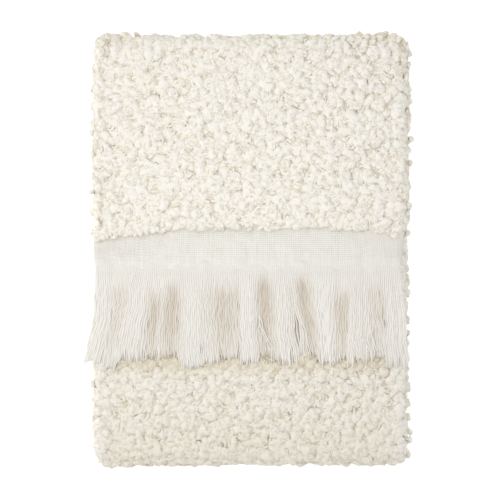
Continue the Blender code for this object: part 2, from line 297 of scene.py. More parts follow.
def mesh_piece(name, points, quads, triangles, corner_uv, values, material):
    """A smooth mesh object from arrays: points, four- and three-cornered faces, UVs, point values."""
    quads = np.asarray(quads, dtype=np.int32).reshape(-1, 4)
    triangles = np.asarray(triangles, dtype=np.int32).reshape(-1, 3)
    corners = np.concatenate((quads.ravel(), triangles.ravel()))
    starts = np.concatenate((
        np.arange(len(quads), dtype=np.int32) * 4,
        len(quads) * 4 + np.arange(len(triangles), dtype=np.int32) * 3,
    ))
    mesh = bpy.data.meshes.new(name)
    mesh.vertices.add(len(points))
    mesh.vertices.foreach_set("co", np.asarray(points, dtype=np.float32).ravel())
    mesh.loops.add(len(corners))
    mesh.loops.foreach_set("vertex_index", corners)
    mesh.polygons.add(len(starts))
    mesh.polygons.foreach_set("loop_start", starts)
    mesh.update(calc_edges=True)
    mesh.uv_layers.new(name="UVMap").data.foreach_set("uv", np.asarray(corner_uv, dtype=np.float32).ravel())
    for key, value in values.items():
        attribute = mesh.attributes.new(key, "FLOAT", "POINT")
        attribute.data.foreach_set("value", np.asarray(value, dtype=np.float32).ravel())
    mesh.shade_smooth()
    mesh.materials.append(material)
    piece = object_of(name, mesh)
    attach(piece, ROOT)
    print(f"{name}: {len(points)} points, {2 * len(quads) + len(triangles)} triangles")
    return piece


def grid_quads(rows, columns):
    """Faces of a rows by columns grid of points, turning from row to column."""
    first = (np.arange(rows - 1)[:, None] * columns + np.arange(columns - 1)).ravel()
    return np.column_stack((first, first + columns, first + columns + 1, first + 1))


def ring_faces(count, ring_v, around):
    """Faces and corner UVs of count closed bodies of rings, each with a pole point past both ends.

    A body's points are its rings one after the other, around points each, and then its two poles. Across
    the UV map is once round, and up it are the rings' heights ring_v, with the poles at 0 and 1.
    """
    rings = len(ring_v)
    size = rings * around + 2
    ring, corner = np.meshgrid(np.arange(rings - 1), np.arange(around), indexing="ij")
    after = (corner + 1) % around
    first, second = ring * around + corner, ring * around + after
    quads = np.stack((first, second, second + around, first + around), axis=-1).reshape(-1, 4)
    left, right, low, high = corner / around, (corner + 1) / around, ring_v[ring], ring_v[ring + 1]
    quad_uv = np.stack((left, low, right, low, right, high, left, high), axis=-1).reshape(-1, 4, 2)
    start, step, last = corner[0], after[0], (rings - 1) * around
    near_pole = np.column_stack((np.full(around, size - 2), step, start))
    far_pole = np.column_stack((np.full(around, size - 1), last + start, last + step))
    left, middle, right = ((start + share) / around for share in (0.0, 0.5, 1.0))
    zero, low, high, one = (np.full(around, value) for value in (0.0, ring_v[0], ring_v[-1], 1.0))
    near_uv = np.stack((middle, zero, right, low, left, low), axis=-1)
    far_uv = np.stack((middle, one, left, high, right, high), axis=-1)
    triangles = np.concatenate((near_pole, far_pole))
    triangle_uv = np.concatenate((near_uv, far_uv)).reshape(-1, 3, 2)
    offset = (np.arange(count) * size)[:, None, None]
    return (quads + offset).reshape(-1, 4), (triangles + offset).reshape(-1, 3), (quad_uv, triangle_uv)


def copied_uv(corner_uvs, shift, stretch=1.0):
    """The corner UVs of every body in turn, each stretched and shifted by its own amounts."""
    return np.concatenate([(uv[None] * stretch + shift).reshape(-1, 2) for uv in corner_uvs])


# %% [markdown]
# ## Finishes
#
# The throw is undyed, so its colour is a warm white. Where light has bounced between the yarns it looks
# creamier, and that creamier colour is painted shade. Spun wool and cotton are quite matt. An image of the
# yarn would blur close up, so nodes work the fibres out from noise. Patterns that follow a yarn read the
# piece's own UV map, because fibres run along a yarn wherever it bends.

# %% A finish and its steps


class Finish:
    """A node material being made. Each step adds nodes and gives back the socket of its result."""

    def __init__(self, name):
        self.material = bpy.data.materials.new(name)
        self.material.use_nodes = True
        self.nodes = self.material.node_tree.nodes
        self.shader = self.nodes["Principled BSDF"]

    def feed(self, socket, value):
        """Join a socket to another one, or set it to a plain number or colour."""
        if isinstance(value, bpy.types.NodeSocket):
            self.material.node_tree.links.new(value, socket)
        else:
            socket.default_value = value

    def math(self, kind, *values):
        """One step of arithmetic on sockets or plain numbers."""
        node = self.nodes.new("ShaderNodeMath")
        node.operation = kind
        for socket, value in zip(node.inputs, values):
            self.feed(socket, value)
        return node.outputs[0]

    def sum_of(self, *terms, start=0.0):
        """start plus each value times its share."""
        total = start
        for value, share in terms:
            total = self.math("MULTIPLY_ADD", value, share, total)
        return total

    def value_of(self, name):
        """A named point value of the mesh."""
        node = self.nodes.new("ShaderNodeAttribute")
        node.attribute_name = name
        return node.outputs["Fac"]

    def mixed(self, share, first, second, kind="RGBA"):
        """first at share 0 and second at share 1, colours unless the kind says otherwise."""
        node = self.nodes.new("ShaderNodeMix")
        node.data_type = kind
        for name, value in (("Factor", share), ("A", first), ("B", second)):
            self.feed(node.inputs[name], value)
        return node.outputs["Result"]

    def fade(self, value, start, end):
        """0 where value is at start, 1 where it is at end, and a smooth step between."""
        node = self.nodes.new("ShaderNodeMapRange")
        node.interpolation_type = "SMOOTHSTEP"
        for name, given in (("Value", value), ("From Min", start), ("From Max", end)):
            self.feed(node.inputs[name], given)
        return node.outputs["Result"]

    def noise(self, where, scale, detail, distortion=0.0):
        """Noise at the places that where gives, scale turns a unit."""
        node = self.nodes.new("ShaderNodeTexNoise")
        given = {"Vector": where, "Scale": scale, "Detail": detail, "Distortion": distortion}
        for name, value in given.items():
            self.feed(node.inputs[name], value)
        return node.outputs["Fac"]

    def object_noise(self, scale, detail, distortion=0.0):
        """Noise in the piece's own space, scale turns a metre."""
        where = self.nodes.new("ShaderNodeTexCoord").outputs["Object"]
        return self.noise(where, scale, detail, distortion)

    def uv_noise(self, stretch, detail, turned=0.0):
        """Noise on the UV map, turned, and stretched by (u, v) turns a unit."""
        mapping = self.nodes.new("ShaderNodeMapping")
        self.feed(mapping.inputs["Vector"], self.nodes.new("ShaderNodeUVMap").outputs["UV"])
        self.feed(mapping.inputs["Scale"], (*stretch, 1.0))
        self.feed(mapping.inputs["Rotation"], (0.0, 0.0, turned))
        return self.noise(mapping.outputs["Vector"], 1.0, detail)

    def finished(self, colour, relief, depth, roughness):
        """The matt material, of a colour, a relief that is depth metres deep from 0 to 1, and a roughness."""
        bump = self.nodes.new("ShaderNodeBump")
        for name, value in (("Height", relief), ("Distance", depth), ("Strength", 1.0)):
            self.feed(bump.inputs[name], value)
        for name, value in (
            ("Base Color", colour),
            ("Normal", bump.outputs["Normal"]),
            ("Roughness", roughness),
            ("Specular IOR Level", 0.10),
        ):
            self.feed(self.shader.inputs[name], value)
        return self.material


# %% [markdown]
# ## The weave
#
# The band is plain weave: each weft goes over one warp and under the next. Threads this fine could be
# built, but every layer has about 170 by 20 of them and they lie flat, so they are relief and colour, with
# painted shade in the gaps between them and painted light on their ridges.
# The same sheet is the ground under the boucle, where only a little of it shows between the puffs, in
# painted crease shade.

# %% Weave finish
YARN_LIGHT = (0.968, 0.944, 0.888, 1.0)
# painted shade: the colour of the gaps between the weave's threads
WEAVE_GAP_PAINTED_SHADE = (0.800, 0.758, 0.680, 1.0)
# painted shade: the colour of creases, of the puffs' feet and of the ground seen between puffs
PUFF_CREASE_PAINTED_SHADE = (0.932, 0.881, 0.774, 1.0)
WARP_PITCH = 0.00194
WEFT_PITCH = 0.00185
# noise along the threads, and patches of looser weave, in turns a metre across and along
SLUB_TURNS = (430.0, 40.0)
LOOSE_TURNS = (95.0, 130.0)
LOOSE_SHARE, LEAST_DEPTH = 0.8, 0.55
SLUB_HEIGHT = 1.4
# painted light: how much lighter a thread's ridge is painted than the gaps
RIDGE_PAINTED_LIGHT = 0.60
WEAVE_SHADE = -0.24
WEAVE_DEPTH = 0.00045


def weave_finish():
    """The ground cloth: plain weave where it is band, and under the boucle a ground in painted crease shade.

    u and v are metres of cloth. In a plain weave a warp lies on top in every second cell of a
    chequerboard, where the product of two sines is over 0. So the warp's ridge, the absolute sine across,
    shows there, and the weft's ridge in the cells between. The ridges are painted lighter and the gaps
    between threads darker, as painted light and shade. Patches of noise and the sheet's own "relief" make
    the weave deeper and shallower.
    """
    finish = Finish("Ivory weave")
    parts = finish.nodes.new("ShaderNodeSeparateXYZ")
    finish.feed(parts.inputs["Vector"], finish.nodes.new("ShaderNodeUVMap").outputs["UV"])
    across, along = (
        finish.math("SINE", finish.math("MULTIPLY", parts.outputs[name], math.pi / pitch))
        for name, pitch in (("X", WARP_PITCH), ("Y", WEFT_PITCH))
    )
    warp_on_top = finish.math("GREATER_THAN", finish.math("MULTIPLY", across, along), 0.0)
    weft, warp = finish.math("ABSOLUTE", along), finish.math("ABSOLUTE", across)
    weave = finish.mixed(warp_on_top, weft, warp, "FLOAT")
    slubs = finish.uv_noise(SLUB_TURNS, detail=3.0)
    depth = finish.sum_of((finish.uv_noise(LOOSE_TURNS, detail=1.0), LOOSE_SHARE), start=LEAST_DEPTH)
    depth = finish.math("MULTIPLY", depth, finish.value_of("relief"))
    relief = finish.sum_of((slubs, SLUB_HEIGHT), start=finish.math("MULTIPLY", weave, depth))
    # painted light on the ridges and painted shade in the gaps, with the slubs' random tone
    lightness = finish.sum_of((weave, RIDGE_PAINTED_LIGHT), (slubs, 1.0), start=WEAVE_SHADE)
    colour = finish.mixed(lightness, WEAVE_GAP_PAINTED_SHADE, YARN_LIGHT)
    # under the boucle, the ground takes the painted crease shade
    is_boucle = finish.math("GREATER_THAN", parts.outputs["Y"], BAND_LENGTH + STEP_HALF_LENGTH)
    return finish.finished(finish.mixed(is_boucle, colour, PUFF_CREASE_PAINTED_SHADE), relief, WEAVE_DEPTH, roughness=0.9)


WEAVE = weave_finish()

# %% [markdown]
# ## The cloth
#
# The ground cloth is one thin sheet in all its sixteen layers. It could be draped by simulation, but a
# shop's fold is neat and known, so the sheet is worked out: two faces, a little off the middle surface on
# each side, joined round the edges. The turns and the step down to the band get more points.

# %% Ground cloth
GROUND_THICKNESS = 0.0021
BAND_THICKNESS = 0.0031
FLAT_SPACING = 0.018
TURN_SPACING = 0.0028
STEP_SPACING = 0.0015
STEP_REACH = (-0.010, 0.012)
HEM_END = 0.009
RIM_STEP = 0.0003
END_SHARE = 0.25
END_TAPER = 0.006
HEM_REACH = (0.004, 0.013)
HEM_RELIEF = 0.72
FLOOR_CLEARANCE = 0.0002


def stations(ends):
    """Lengths at which the cloth gets points: even along each stretch, closer in the turns."""
    found = []
    for k, (start, end) in enumerate(zip(ends[:-1], ends[1:])):
        spacing = TURN_SPACING if k % 2 else FLAT_SPACING
        steps = max(4, math.ceil((end - start) / spacing))
        found.append(np.linspace(start, end, steps + 1)[:-1])
    return np.concatenate(found + [[ends[-1]]])


def with_extra(lengths, *more):
    """The lengths and more of them, in order and each once."""
    return np.unique(np.concatenate((lengths, *more)))


def make_ground():
    """The folded sheet: outer face, inner face and a rim, with UVs in metres of cloth."""
    u = with_extra(stations(ACROSS_ENDS), (RIM_STEP, CLOTH_WIDTH - RIM_STEP))
    v = stations(ALONG_ENDS)
    hem = np.arange(STEP_SPACING, HEM_END, STEP_SPACING)
    step = np.arange(BAND_LENGTH + STEP_REACH[0], BAND_LENGTH + STEP_REACH[1], STEP_SPACING)
    away = v[np.abs(v - BAND_LENGTH) > STEP_REACH[1]]
    v = with_extra(away, hem, step, (RIM_STEP, CLOTH_LENGTH - RIM_STEP))
    is_ground = smooth_step(v, BAND_LENGTH - STEP_HALF_LENGTH, BAND_LENGTH + STEP_HALF_LENGTH)
    thickness = BAND_THICKNESS + (GROUND_THICKNESS - BAND_THICKNESS) * is_ground
    thickness = thickness * (END_SHARE + (1.0 - END_SHARE) * smooth_step(v, 0.0, END_TAPER))
    faces = [place(u[:, None], v[None, :], side * thickness / 2) for side in (1.0, -1.0)]
    points = np.concatenate([face.reshape(-1, 3) for face in faces])
    points[:, 2] = np.maximum(points[:, 2], FLOOR_CLEARANCE)
    rows, columns = len(u), len(v)
    count = rows * columns
    inner = grid_quads(rows, columns) + count
    outer = grid_quads(rows, columns)[:, ::-1]
    index = np.arange(count).reshape(rows, columns)
    rim = np.concatenate((index[:, 0], index[-1, 1:], index[-2::-1, -1], index[0, -2:0:-1]))
    after = np.roll(rim, -1)
    sides = np.column_stack((rim, after, after + count, rim + count))
    quads = np.concatenate((outer, inner, sides))
    uv = np.stack(np.broadcast_arrays(u[:, None], v[None, :]), axis=-1).reshape(-1, 2)
    uv = np.concatenate((uv, uv))
    values = {"relief": HEM_RELIEF + (1.0 - HEM_RELIEF) * smooth_step(uv[:, 1], *HEM_REACH)}
    corner_uv = uv[quads].reshape(-1, 2)
    return mesh_piece("boucle_throw_cloth", points, quads, [], corner_uv, values, WEAVE)


ground = make_ground()
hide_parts("boucle_throw")

# %% [markdown]
# ## The boucle's finish
#
# Boucle yarn is roving, combed fibre with hardly a twist, caught in loops. So a puff shows long fibres
# along it, and here and there a short warm crease where two turns meet. Its foot is painted creamier than
# its crown, and its creases warmer, as painted shade. The creases could be modelled, but they are
# hair-fine, so they are drawn as thin lines of colour and relief. Puffs of the run below get painted shade,
# most of all under the fringe's tips and towards the front, and those under the fringe lie a little lower.

# %% Boucle finish
PUFF_LIGHT = (0.928, 0.899, 0.836, 1.0)
PUFF_CREAM = (0.886, 0.848, 0.764, 1.0)
# painted shade of the run below, deepest under the fringe's tips and towards the front end
PUFF_PAINTED_SHADE = (0.814, 0.752, 0.622, 1.0)
# painted shade: the warm colour of the short creases where turns of yarn meet
CREASE_LINE_PAINTED_SHADE = (0.740, 0.628, 0.435, 1.0)
CREASE_LINE_SHADE_SHARE = 0.68
PAINTED_SHADE_LINE_SHARE = 0.4
CURL_LINE_WIDTH = 0.050
# turns a centimetre round the puff and along it, and turns a metre in space
FIBRE_TURNS = (30.0, 3.0)
LUMP_TURNS = 330.0
SPECK_TURNS = 900.0
CURL_TURNS = 185.0
PATCH_TURNS = 210.0
PATCH_FADE = (0.40, 0.58)
PUFF_SHADE = -0.35
PUFF_DEPTH = 0.0006


def boucle_finish():
    """Puffs: combed fibres that curl and cling, with short warm creases and a foot in painted shade.

    u runs once round the puff and v along it, in centimetres, and the fibres are noise drawn out along v.
    The creases are the lines where a noise of the piece's own space crosses its middle value, and a
    wider noise lets them show only here and there. Their warm colour is painted shade.
    """
    finish = Finish("Ivory boucle")
    fibres = finish.uv_noise(FIBRE_TURNS, detail=3.0)
    lumps = finish.object_noise(LUMP_TURNS, detail=3.0, distortion=1.0)
    specks = finish.object_noise(SPECK_TURNS, detail=1.0)
    curls = finish.object_noise(CURL_TURNS, detail=1.5, distortion=1.1)
    off_line = finish.math("ABSOLUTE", finish.math("SUBTRACT", curls, 0.5))
    patches = finish.fade(finish.object_noise(PATCH_TURNS, detail=1.0), *PATCH_FADE)
    lines = finish.math("MULTIPLY", finish.fade(off_line, CURL_LINE_WIDTH, 0.0), patches)
    tint, painted_shade = finish.value_of("tint"), finish.value_of("painted_shade")
    lightness = finish.sum_of((tint, 0.5), (fibres, 0.5), (specks, 1.0), start=PUFF_SHADE)
    colour = finish.mixed(lightness, PUFF_CREAM, PUFF_LIGHT)
    # painted shade: below its crest a puff turns to the crease colour
    colour = finish.mixed(finish.value_of("crest_vs_painted_shade"), PUFF_CREASE_PAINTED_SHADE, colour)
    # painted shade of the run below, under the fringe's tips and towards the front end
    colour = finish.mixed(painted_shade, colour, PUFF_PAINTED_SHADE)
    # painted shade in thin warm crease lines, drawn stronger on puffs that get painted shade
    line_share = finish.sum_of((painted_shade, PAINTED_SHADE_LINE_SHARE), start=CREASE_LINE_SHADE_SHARE)
    colour = finish.mixed(finish.math("MULTIPLY", line_share, lines), colour, CREASE_LINE_PAINTED_SHADE)
    relief = finish.sum_of((fibres, 0.7), (lumps, 1.0), (specks, 0.5), (lines, -0.5))
    return finish.finished(colour, relief, PUFF_DEPTH, roughness=0.95)


BOUCLE = boucle_finish()

# %% [markdown]
# ## The boucle
#
# The pile is made of puffs: short, plump turns of roving that the ground weave pins down every few
# millimetres. Hair particles would be too thin for them, and a displaced surface can't overhang. So each
# puff is its own small pillow, squashed, bent and lobed with its own numbers, on a jittered grid over the
# cloth's outer face. They lie so close that they run into each other, and only short, shallow creases stay
# between them. Thin curls lie on top. Only puffs that can be seen are kept, and those seen only from the
# side are a little further apart.

# %% Points of the outer face
PUFF_JITTER = 0.27
PAST_BAND = 0.0055
BOUCLE_START = BAND_LENGTH + PAST_BAND
JUST_INSIDE = 0.001
FACE_ENDS = ACROSS_ENDS[:5]
puff_random = np.random.default_rng(20)


def outside_lengths(ends, growth):
    """The stretches' ends measured on the cloth's outer face, where each turn is longer by its growth."""
    steps = np.diff(ends)
    steps[1::2] *= growth
    return np.concatenate(([0.0], np.cumsum(steps)))


OUTSIDE_U = outside_lengths(FACE_ENDS, (1.0 + SKIN / OUTER_TURN_RADIUS, 1.0 + SKIN / INNER_TURN_RADIUS))
OUTSIDE_V = outside_lengths(ALONG_ENDS, 1.0 + STRIP_HEIGHT / 2 / RUN_TURN_RADIUS)
print(f"outer face {OUTSIDE_U[-1]:.3f} by {OUTSIDE_V[-1]:.3f} m")


def scattered(spacing):
    """A staggered grid over the boucle's outer face, each point moved at random by a share of the spacing."""
    rows = np.arange(BOUCLE_START, OUTSIDE_V[-1], spacing * math.sqrt(3) / 2)
    u, v = np.meshgrid(np.arange(0.0, OUTSIDE_U[-1], spacing), rows)
    u = u + spacing / 2 * (np.arange(len(rows)) % 2)[:, None]
    u, v = (grid + puff_random.uniform(-PUFF_JITTER, PUFF_JITTER, u.shape) * spacing for grid in (u, v))
    u = np.interp(u.ravel(), OUTSIDE_U, FACE_ENDS)
    v = np.interp(v.ravel(), OUTSIDE_V, ALONG_ENDS)
    return (
        np.clip(u, JUST_INSIDE, FACE_ENDS[-1]),
        np.clip(v, BOUCLE_START - JUST_INSIDE, CLOTH_LENGTH - JUST_INSIDE),
    )


# %% How a puff faces, and whether it shows
# stretches of the length: the runs have even numbers, and the U-turns between them odd ones
TOP_RUN, NEXT_RUN = 0, 2
# the fringe's tips, where its right end starts to cover the puffs beside the band, and where those start
FRINGE_COVER_Y = -0.103
RIGHT_COVER_Y = -0.058
BESIDE_BAND_X = 0.152
# shares of a unit direction from which a puff faces up, to a side, or to an end
FACES_UP = 0.45
FACES_SIDE = 0.30
FACES_END = 0.20
# the reach over which directions on the cloth are measured
NEARBY = 0.0006


def unit(vectors):
    """The same vectors, each of length 1."""
    return vectors / np.maximum(np.linalg.norm(vectors, axis=-1, keepdims=True), 1e-9)


def square_to(vectors, facing):
    """What is left of the vectors, as units, when their share along facing is taken away."""
    return unit(vectors - facing * (vectors * facing).sum(axis=-1, keepdims=True))


def frame_at(u, v, lift):
    """Centre, the direction across the cloth, the direction along it, and the way it faces."""
    facing = unit(place(u, v, lift + NEARBY) - place(u, v, lift - NEARBY))
    across = square_to(place(u + NEARBY, v, lift) - place(u - NEARBY, v, lift), facing)
    return place(u, v, lift), across, np.cross(facing, across), facing


def lie_of(u, v):
    """Which stretch of the length (u, v) is in, and the outer face's x, y and facing there."""
    centre, _, _, facing = frame_at(u, v, SKIN)
    return np.searchsorted(ALONG_ENDS, v, side="right") - 1, centre[:, 0], centre[:, 1], facing


def shows(u, v):
    """Whether a puff on the outer face is seen from above, and whether it is only seen from beside."""
    stretch, x, y, facing = lie_of(u, v)
    front = (stretch == NEXT_RUN) & ((y < FRINGE_COVER_Y) | ((x > BESIDE_BAND_X) & (y < BAND_START_Y)))
    at_turn = (stretch % 2 == 1) & (facing[:, 1] * y > 0)
    above = ((stretch == TOP_RUN) | front | at_turn) & (facing[:, 2] > FACES_UP)
    beside = (np.abs(facing[:, 0]) > FACES_SIDE) | (at_turn & (np.abs(facing[:, 1]) > FACES_END))
    return above, beside & ~above


def under_fringe(u, v):
    """Whether a puff of the next run lies under one of the fringe's two ends, facing up."""
    stretch, x, y, facing = lie_of(u, v)
    covered = (y > FRINGE_COVER_Y) & (y < BAND_START_Y) & ((x < 0.0) | (y < RIGHT_COVER_Y))
    return (stretch == NEXT_RUN) & (facing[:, 2] > FACES_UP) & covered


# %% Where the puffs lie
TOP_SPACING = 0.0090
SIDE_SPACING = 0.0098
CURL_SPACING = 0.0086
EDGE_JITTER = 0.002
# more puffs beside the band and the fringe, on the next run's right side: how far round the turn they
# lie, and from where to where along the length
BESIDE_ROWS = (0.0028, 0.0068)
BESIDE_REACH = (ALONG_ENDS[2] + TURN_CENTRE_Y - 0.012, ALONG_ENDS[2] + TURN_CENTRE_Y + 0.094)
BESIDE_COUNT = 12
BESIDE_JITTER = 0.0015


def scattered_that_show(spacing, from_beside=False):
    """The points of a scattered grid that are seen from above, or only from beside."""
    u, v = scattered(spacing)
    above, beside = shows(u, v)
    seen = beside if from_beside else above
    return u[seen], v[seen]


def moved(lengths, reach):
    """The lengths, each moved at random by up to reach."""
    return lengths + puff_random.uniform(-reach, reach, len(lengths))


top_u, top_v = scattered_that_show(TOP_SPACING)
side_rows = [scattered_that_show(SIDE_SPACING, from_beside=True)]
edge_v = np.linspace(BOUCLE_START, CLOTH_LENGTH, int(CLOTH_LENGTH / SIDE_SPACING))
for selvage_u in (JUST_INSIDE, CLOTH_WIDTH - JUST_INSIDE):
    side_rows.append((np.full_like(edge_v, selvage_u), moved(edge_v, EDGE_JITTER)))
end_u = np.arange(0.0, CLOTH_WIDTH, SIDE_SPACING)
side_rows.append((moved(end_u, EDGE_JITTER), np.full_like(end_u, CLOTH_LENGTH - JUST_INSIDE)))
side_u, side_v = np.hstack(side_rows)
beside_u = ACROSS_ENDS[1] + np.tile(BESIDE_ROWS, BESIDE_COUNT)
beside_v = moved(np.repeat(np.linspace(*BESIDE_REACH, BESIDE_COUNT), len(BESIDE_ROWS)), BESIDE_JITTER)
curl_u, curl_v = scattered_that_show(CURL_SPACING)
print(len(top_u), "puffs seen from above,", len(side_u) + len(beside_u), "from beside,", len(curl_u), "curls")

# %% [markdown]
# ## Nubs on the outline
#
# Seen from above, the folded sides show small round nubs that stand out one by one, and a few more hang
# over the band's edge. The scattered puffs alone would leave these edges too even. So the nubs lie in
# rows of their own: along the folds at the right and the left, and where the boucle stops at the band.

# %% Where the nubs lie
RIGHT_NUB_SPACING = 0.0130
LEFT_NUB_SPACING = 0.0180
HANGING_NUB_SPACING = 0.0125
NUB_JITTER = 0.35
# how far before the cloth's end the rows stop, and how far a nub is from the turn's middle
RIGHT_END_GAP, LEFT_END_GAP = 0.005, 0.010
RIGHT_SPREAD, LEFT_SPREAD = 0.003, 0.001
HANGING_REACH = (0.0006, 0.0030)
nub_random = np.random.default_rng(8)


def nub_row(start, end, spacing):
    """Lengths from start to end, a spacing apart on average."""
    lengths = np.linspace(start, end, int((end - start) / spacing))
    return lengths + nub_random.uniform(-NUB_JITTER, NUB_JITTER, len(lengths)) * spacing


def turn_middles(turn_ends, spread, count):
    """Places across the cloth near the middle of a turn, up to spread from it."""
    return sum(turn_ends) / 2 + nub_random.uniform(-spread, spread, count)


right_v = nub_row(BOUCLE_START, CLOTH_LENGTH - RIGHT_END_GAP, RIGHT_NUB_SPACING)
left_v = nub_row(BOUCLE_START, CLOTH_LENGTH - LEFT_END_GAP, LEFT_NUB_SPACING)
right_u = turn_middles(ACROSS_ENDS[1:3], RIGHT_SPREAD, len(right_v))
left_u = turn_middles(ACROSS_ENDS[3:5], LEFT_SPREAD, len(left_v))
nub_u, nub_v = np.concatenate((right_u, left_u)), np.concatenate((right_v, left_v))
hanging_u = nub_row(ACROSS_ENDS[2], ACROSS_ENDS[3], HANGING_NUB_SPACING)
hanging_v = BAND_LENGTH + nub_random.uniform(*HANGING_REACH, len(hanging_u))
print(len(nub_u), "nubs along the sides and", len(hanging_u), "over the band")

# %% [markdown]
# ## The shape of a puff
#
# A puff is a short piece of roving: fat in the middle, closed at both ends, bent, and never quite round.
# It could be sculpted once and copied, but then the eye finds the same one again. A formula with a few
# random numbers makes every puff its own, and the same formula makes the curls and the nubs. Each has only
# a few dozen faces, because there are thousands.

# %% Kinds of puffs
PUFF_KINDS = np.array((
    # share, least_length, most_length, least_girth, most_girth, least_bend, most_bend
    (0.62, 0.0130, 0.0170, 0.0058, 0.0076, 0.2, 0.9),
    (0.28, 0.0165, 0.0215, 0.0048, 0.0058, 0.9, 1.9),
    (0.10, 0.0190, 0.0235, 0.0036, 0.0045, 2.0, 3.2),
))
CURL_KINDS = np.array((
    (0.60, 0.0075, 0.0120, 0.0012, 0.0018, 1.4, 3.6),
    (0.40, 0.0060, 0.0090, 0.0018, 0.0025, 0.8, 2.4),
))
NUB_KINDS = np.array((
    (1.00, 0.0068, 0.0096, 0.0027, 0.0035, 0.3, 1.4),
))
# rings along a puff, and points round each
PUFF_GRID = (7, 10)
CURL_GRID = (6, 6)
# height to width of a puff, and how far it tips, in radians
TOP_SQUASH = 0.40
SIDE_SQUASH = 0.66
NUB_SQUASH = 0.90
PUFF_TILT = 0.15
LOBES = (
    # size, lobes round the puff, and how far they wind along it
    (0.10, 4, 2.6),
    (0.13, 2, -2.4),
)
# pinches along the puff, unevenness of its girth, and how far its middle arches up
PINCH, PINCH_TURNS = 0.12, 5.0
UNEVENNESS = (0.90, 1.10)
ARCH = (-0.0002, 0.0012)
ROUNDNESS = 0.7

# %% Points of the puffs


def puff_shapes(count, kinds):
    """Length, girth and bend of every puff, drawn evenly between its kind's least and most."""
    kind = kinds[puff_random.choice(len(kinds), count, p=kinds[:, 0] / kinds[:, 0].sum())]
    length, girth, bend = (puff_random.uniform(kind[:, k], kind[:, k + 1]) for k in (1, 3, 5))
    return length, girth, bend * puff_random.choice((-1.0, 1.0), count)


def puff_axes(across, along, facing):
    """Each puff's long, cross and upward directions, turned at random on the cloth and tilted a little."""
    count = len(across)
    turned = puff_random.uniform(0.0, CIRCLE, count)[:, None]
    tilt = puff_random.uniform(-PUFF_TILT, PUFF_TILT, count)[:, None]
    long_axis = np.cos(turned) * across + np.sin(turned) * along
    long_axis = np.cos(tilt) * long_axis + np.sin(tilt) * facing
    cross_axis = unit(np.cross(facing, long_axis))
    return np.stack((long_axis, cross_axis, np.cross(long_axis, cross_axis)), axis=1)


def puff_points(centre, axes, shapes, grid, squash):
    """Points of many lobed, bent puffs as (puff, point, 3), and how high each stands over its puff's middle.

    Ring j is at t = -cos(p), p from one pole to the other, on an arc that bends by the puff's bend in
    its length. The ring's radius is the girth times sin(p)^0.7, times 1 plus lobes that wind along the
    puff, and it is flattened from above to its puff's squash.
    """
    rings, around = grid
    length, girth, bend = (values[:, None, None] for values in shapes)
    count = len(centre)
    p = np.linspace(0.0, math.pi, rings + 2)
    t = -np.cos(p)[None, :, None]
    q = np.linspace(0.0, CIRCLE, around, endpoint=False)[None, None, :]
    half = bend / 2
    angle = half * t
    arc_long = length / 2 * np.sin(angle) / half
    arc_cross = length / 2 * (1.0 - np.cos(angle)) / half
    arc_cross = arc_cross - arc_cross.mean(axis=1, keepdims=True)
    phases = puff_random.uniform(0.0, CIRCLE, (3, count, 1, 1))
    lobes = 1.0
    for (size, turns, wind), phase in zip(LOBES, phases):
        lobes = lobes + size * np.cos(turns * q + wind * t + phase)
    lobes = lobes * (1.0 + PINCH * np.sin(PINCH_TURNS * t + phases[2]))
    lobes = lobes * puff_random.uniform(*UNEVENNESS, (count, rings + 2, around))
    radius = girth * np.sin(p)[None, :, None] ** ROUNDNESS * lobes
    swing = radius * np.cos(q)
    arch = puff_random.uniform(*ARCH, (count, 1, 1)) * (1.0 - t ** 2)
    up = squash[:, None, None] * radius * np.sin(q) + arch
    local = np.stack((arc_long - swing * np.sin(angle), arc_cross + swing * np.cos(angle), up), axis=-1)
    local = np.concatenate((local[:, 1:-1].reshape(count, -1, 3), local[:, (0, -1), 0, :]), axis=1)
    return centre[:, None, :] + local @ axes, local[..., 2]


# %% [markdown]
# ## Loose fibres
#
# Roving is hairy: ends of fibre stand off every puff and soften its edge against the light. Blender's hair
# could grow them, but the export keeps meshes only. So each fibre is a spike of four faces.

# %% Fibres of the puffs
FIBRES_A_PUFF = 10
FIBRE_WIDTH = 0.00026
FIBRE_REACH = (0.0016, 0.0042)
FIBRE_LIFT = (-0.1, 0.5)
FIBRE_ROOT = 0.0004
FLOOR_ROOM = 0.0003
SPIKE = np.array(((0, 1, 3), (1, 2, 3), (2, 0, 3), (0, 2, 1)))


def fibre_points(points, centre):
    """The spikes' points: three round each fibre's foot in the puff, and its tip out.

    A fibre starts at a point of the puff, runs along its surface and lifts off it.
    """
    shape = (len(points), FIBRES_A_PUFF)
    chosen = puff_random.integers(0, points.shape[1] - 2, shape)
    foot = np.take_along_axis(points, chosen[..., None], axis=1)
    out = unit(foot - centre[:, None, :])
    drift = square_to(puff_random.normal(0.0, 1.0, out.shape), out)
    reach = puff_random.uniform(*FIBRE_REACH, (*shape, 1))
    tip = foot + drift * reach + out * puff_random.uniform(*FIBRE_LIFT, (*shape, 1)) * reach
    heading = unit(tip - foot)
    side = unit(np.cross(heading, out))
    other = np.cross(heading, side)
    turns = np.linspace(0.0, CIRCLE, 3, endpoint=False)[:, None]
    feet = np.cos(turns) * side[:, :, None, :] + np.sin(turns) * other[:, :, None, :]
    feet = foot[:, :, None, :] - heading[:, :, None, :] * FIBRE_ROOT + FIBRE_WIDTH / 2 * feet
    return np.concatenate((feet, tip[:, :, None, :]), axis=2).reshape(-1, 3)


def above_floor(points):
    """The same points, none of them lower than just over the floor."""
    return np.column_stack((points[:, :2], np.maximum(points[:, 2], FLOOR_ROOM)))


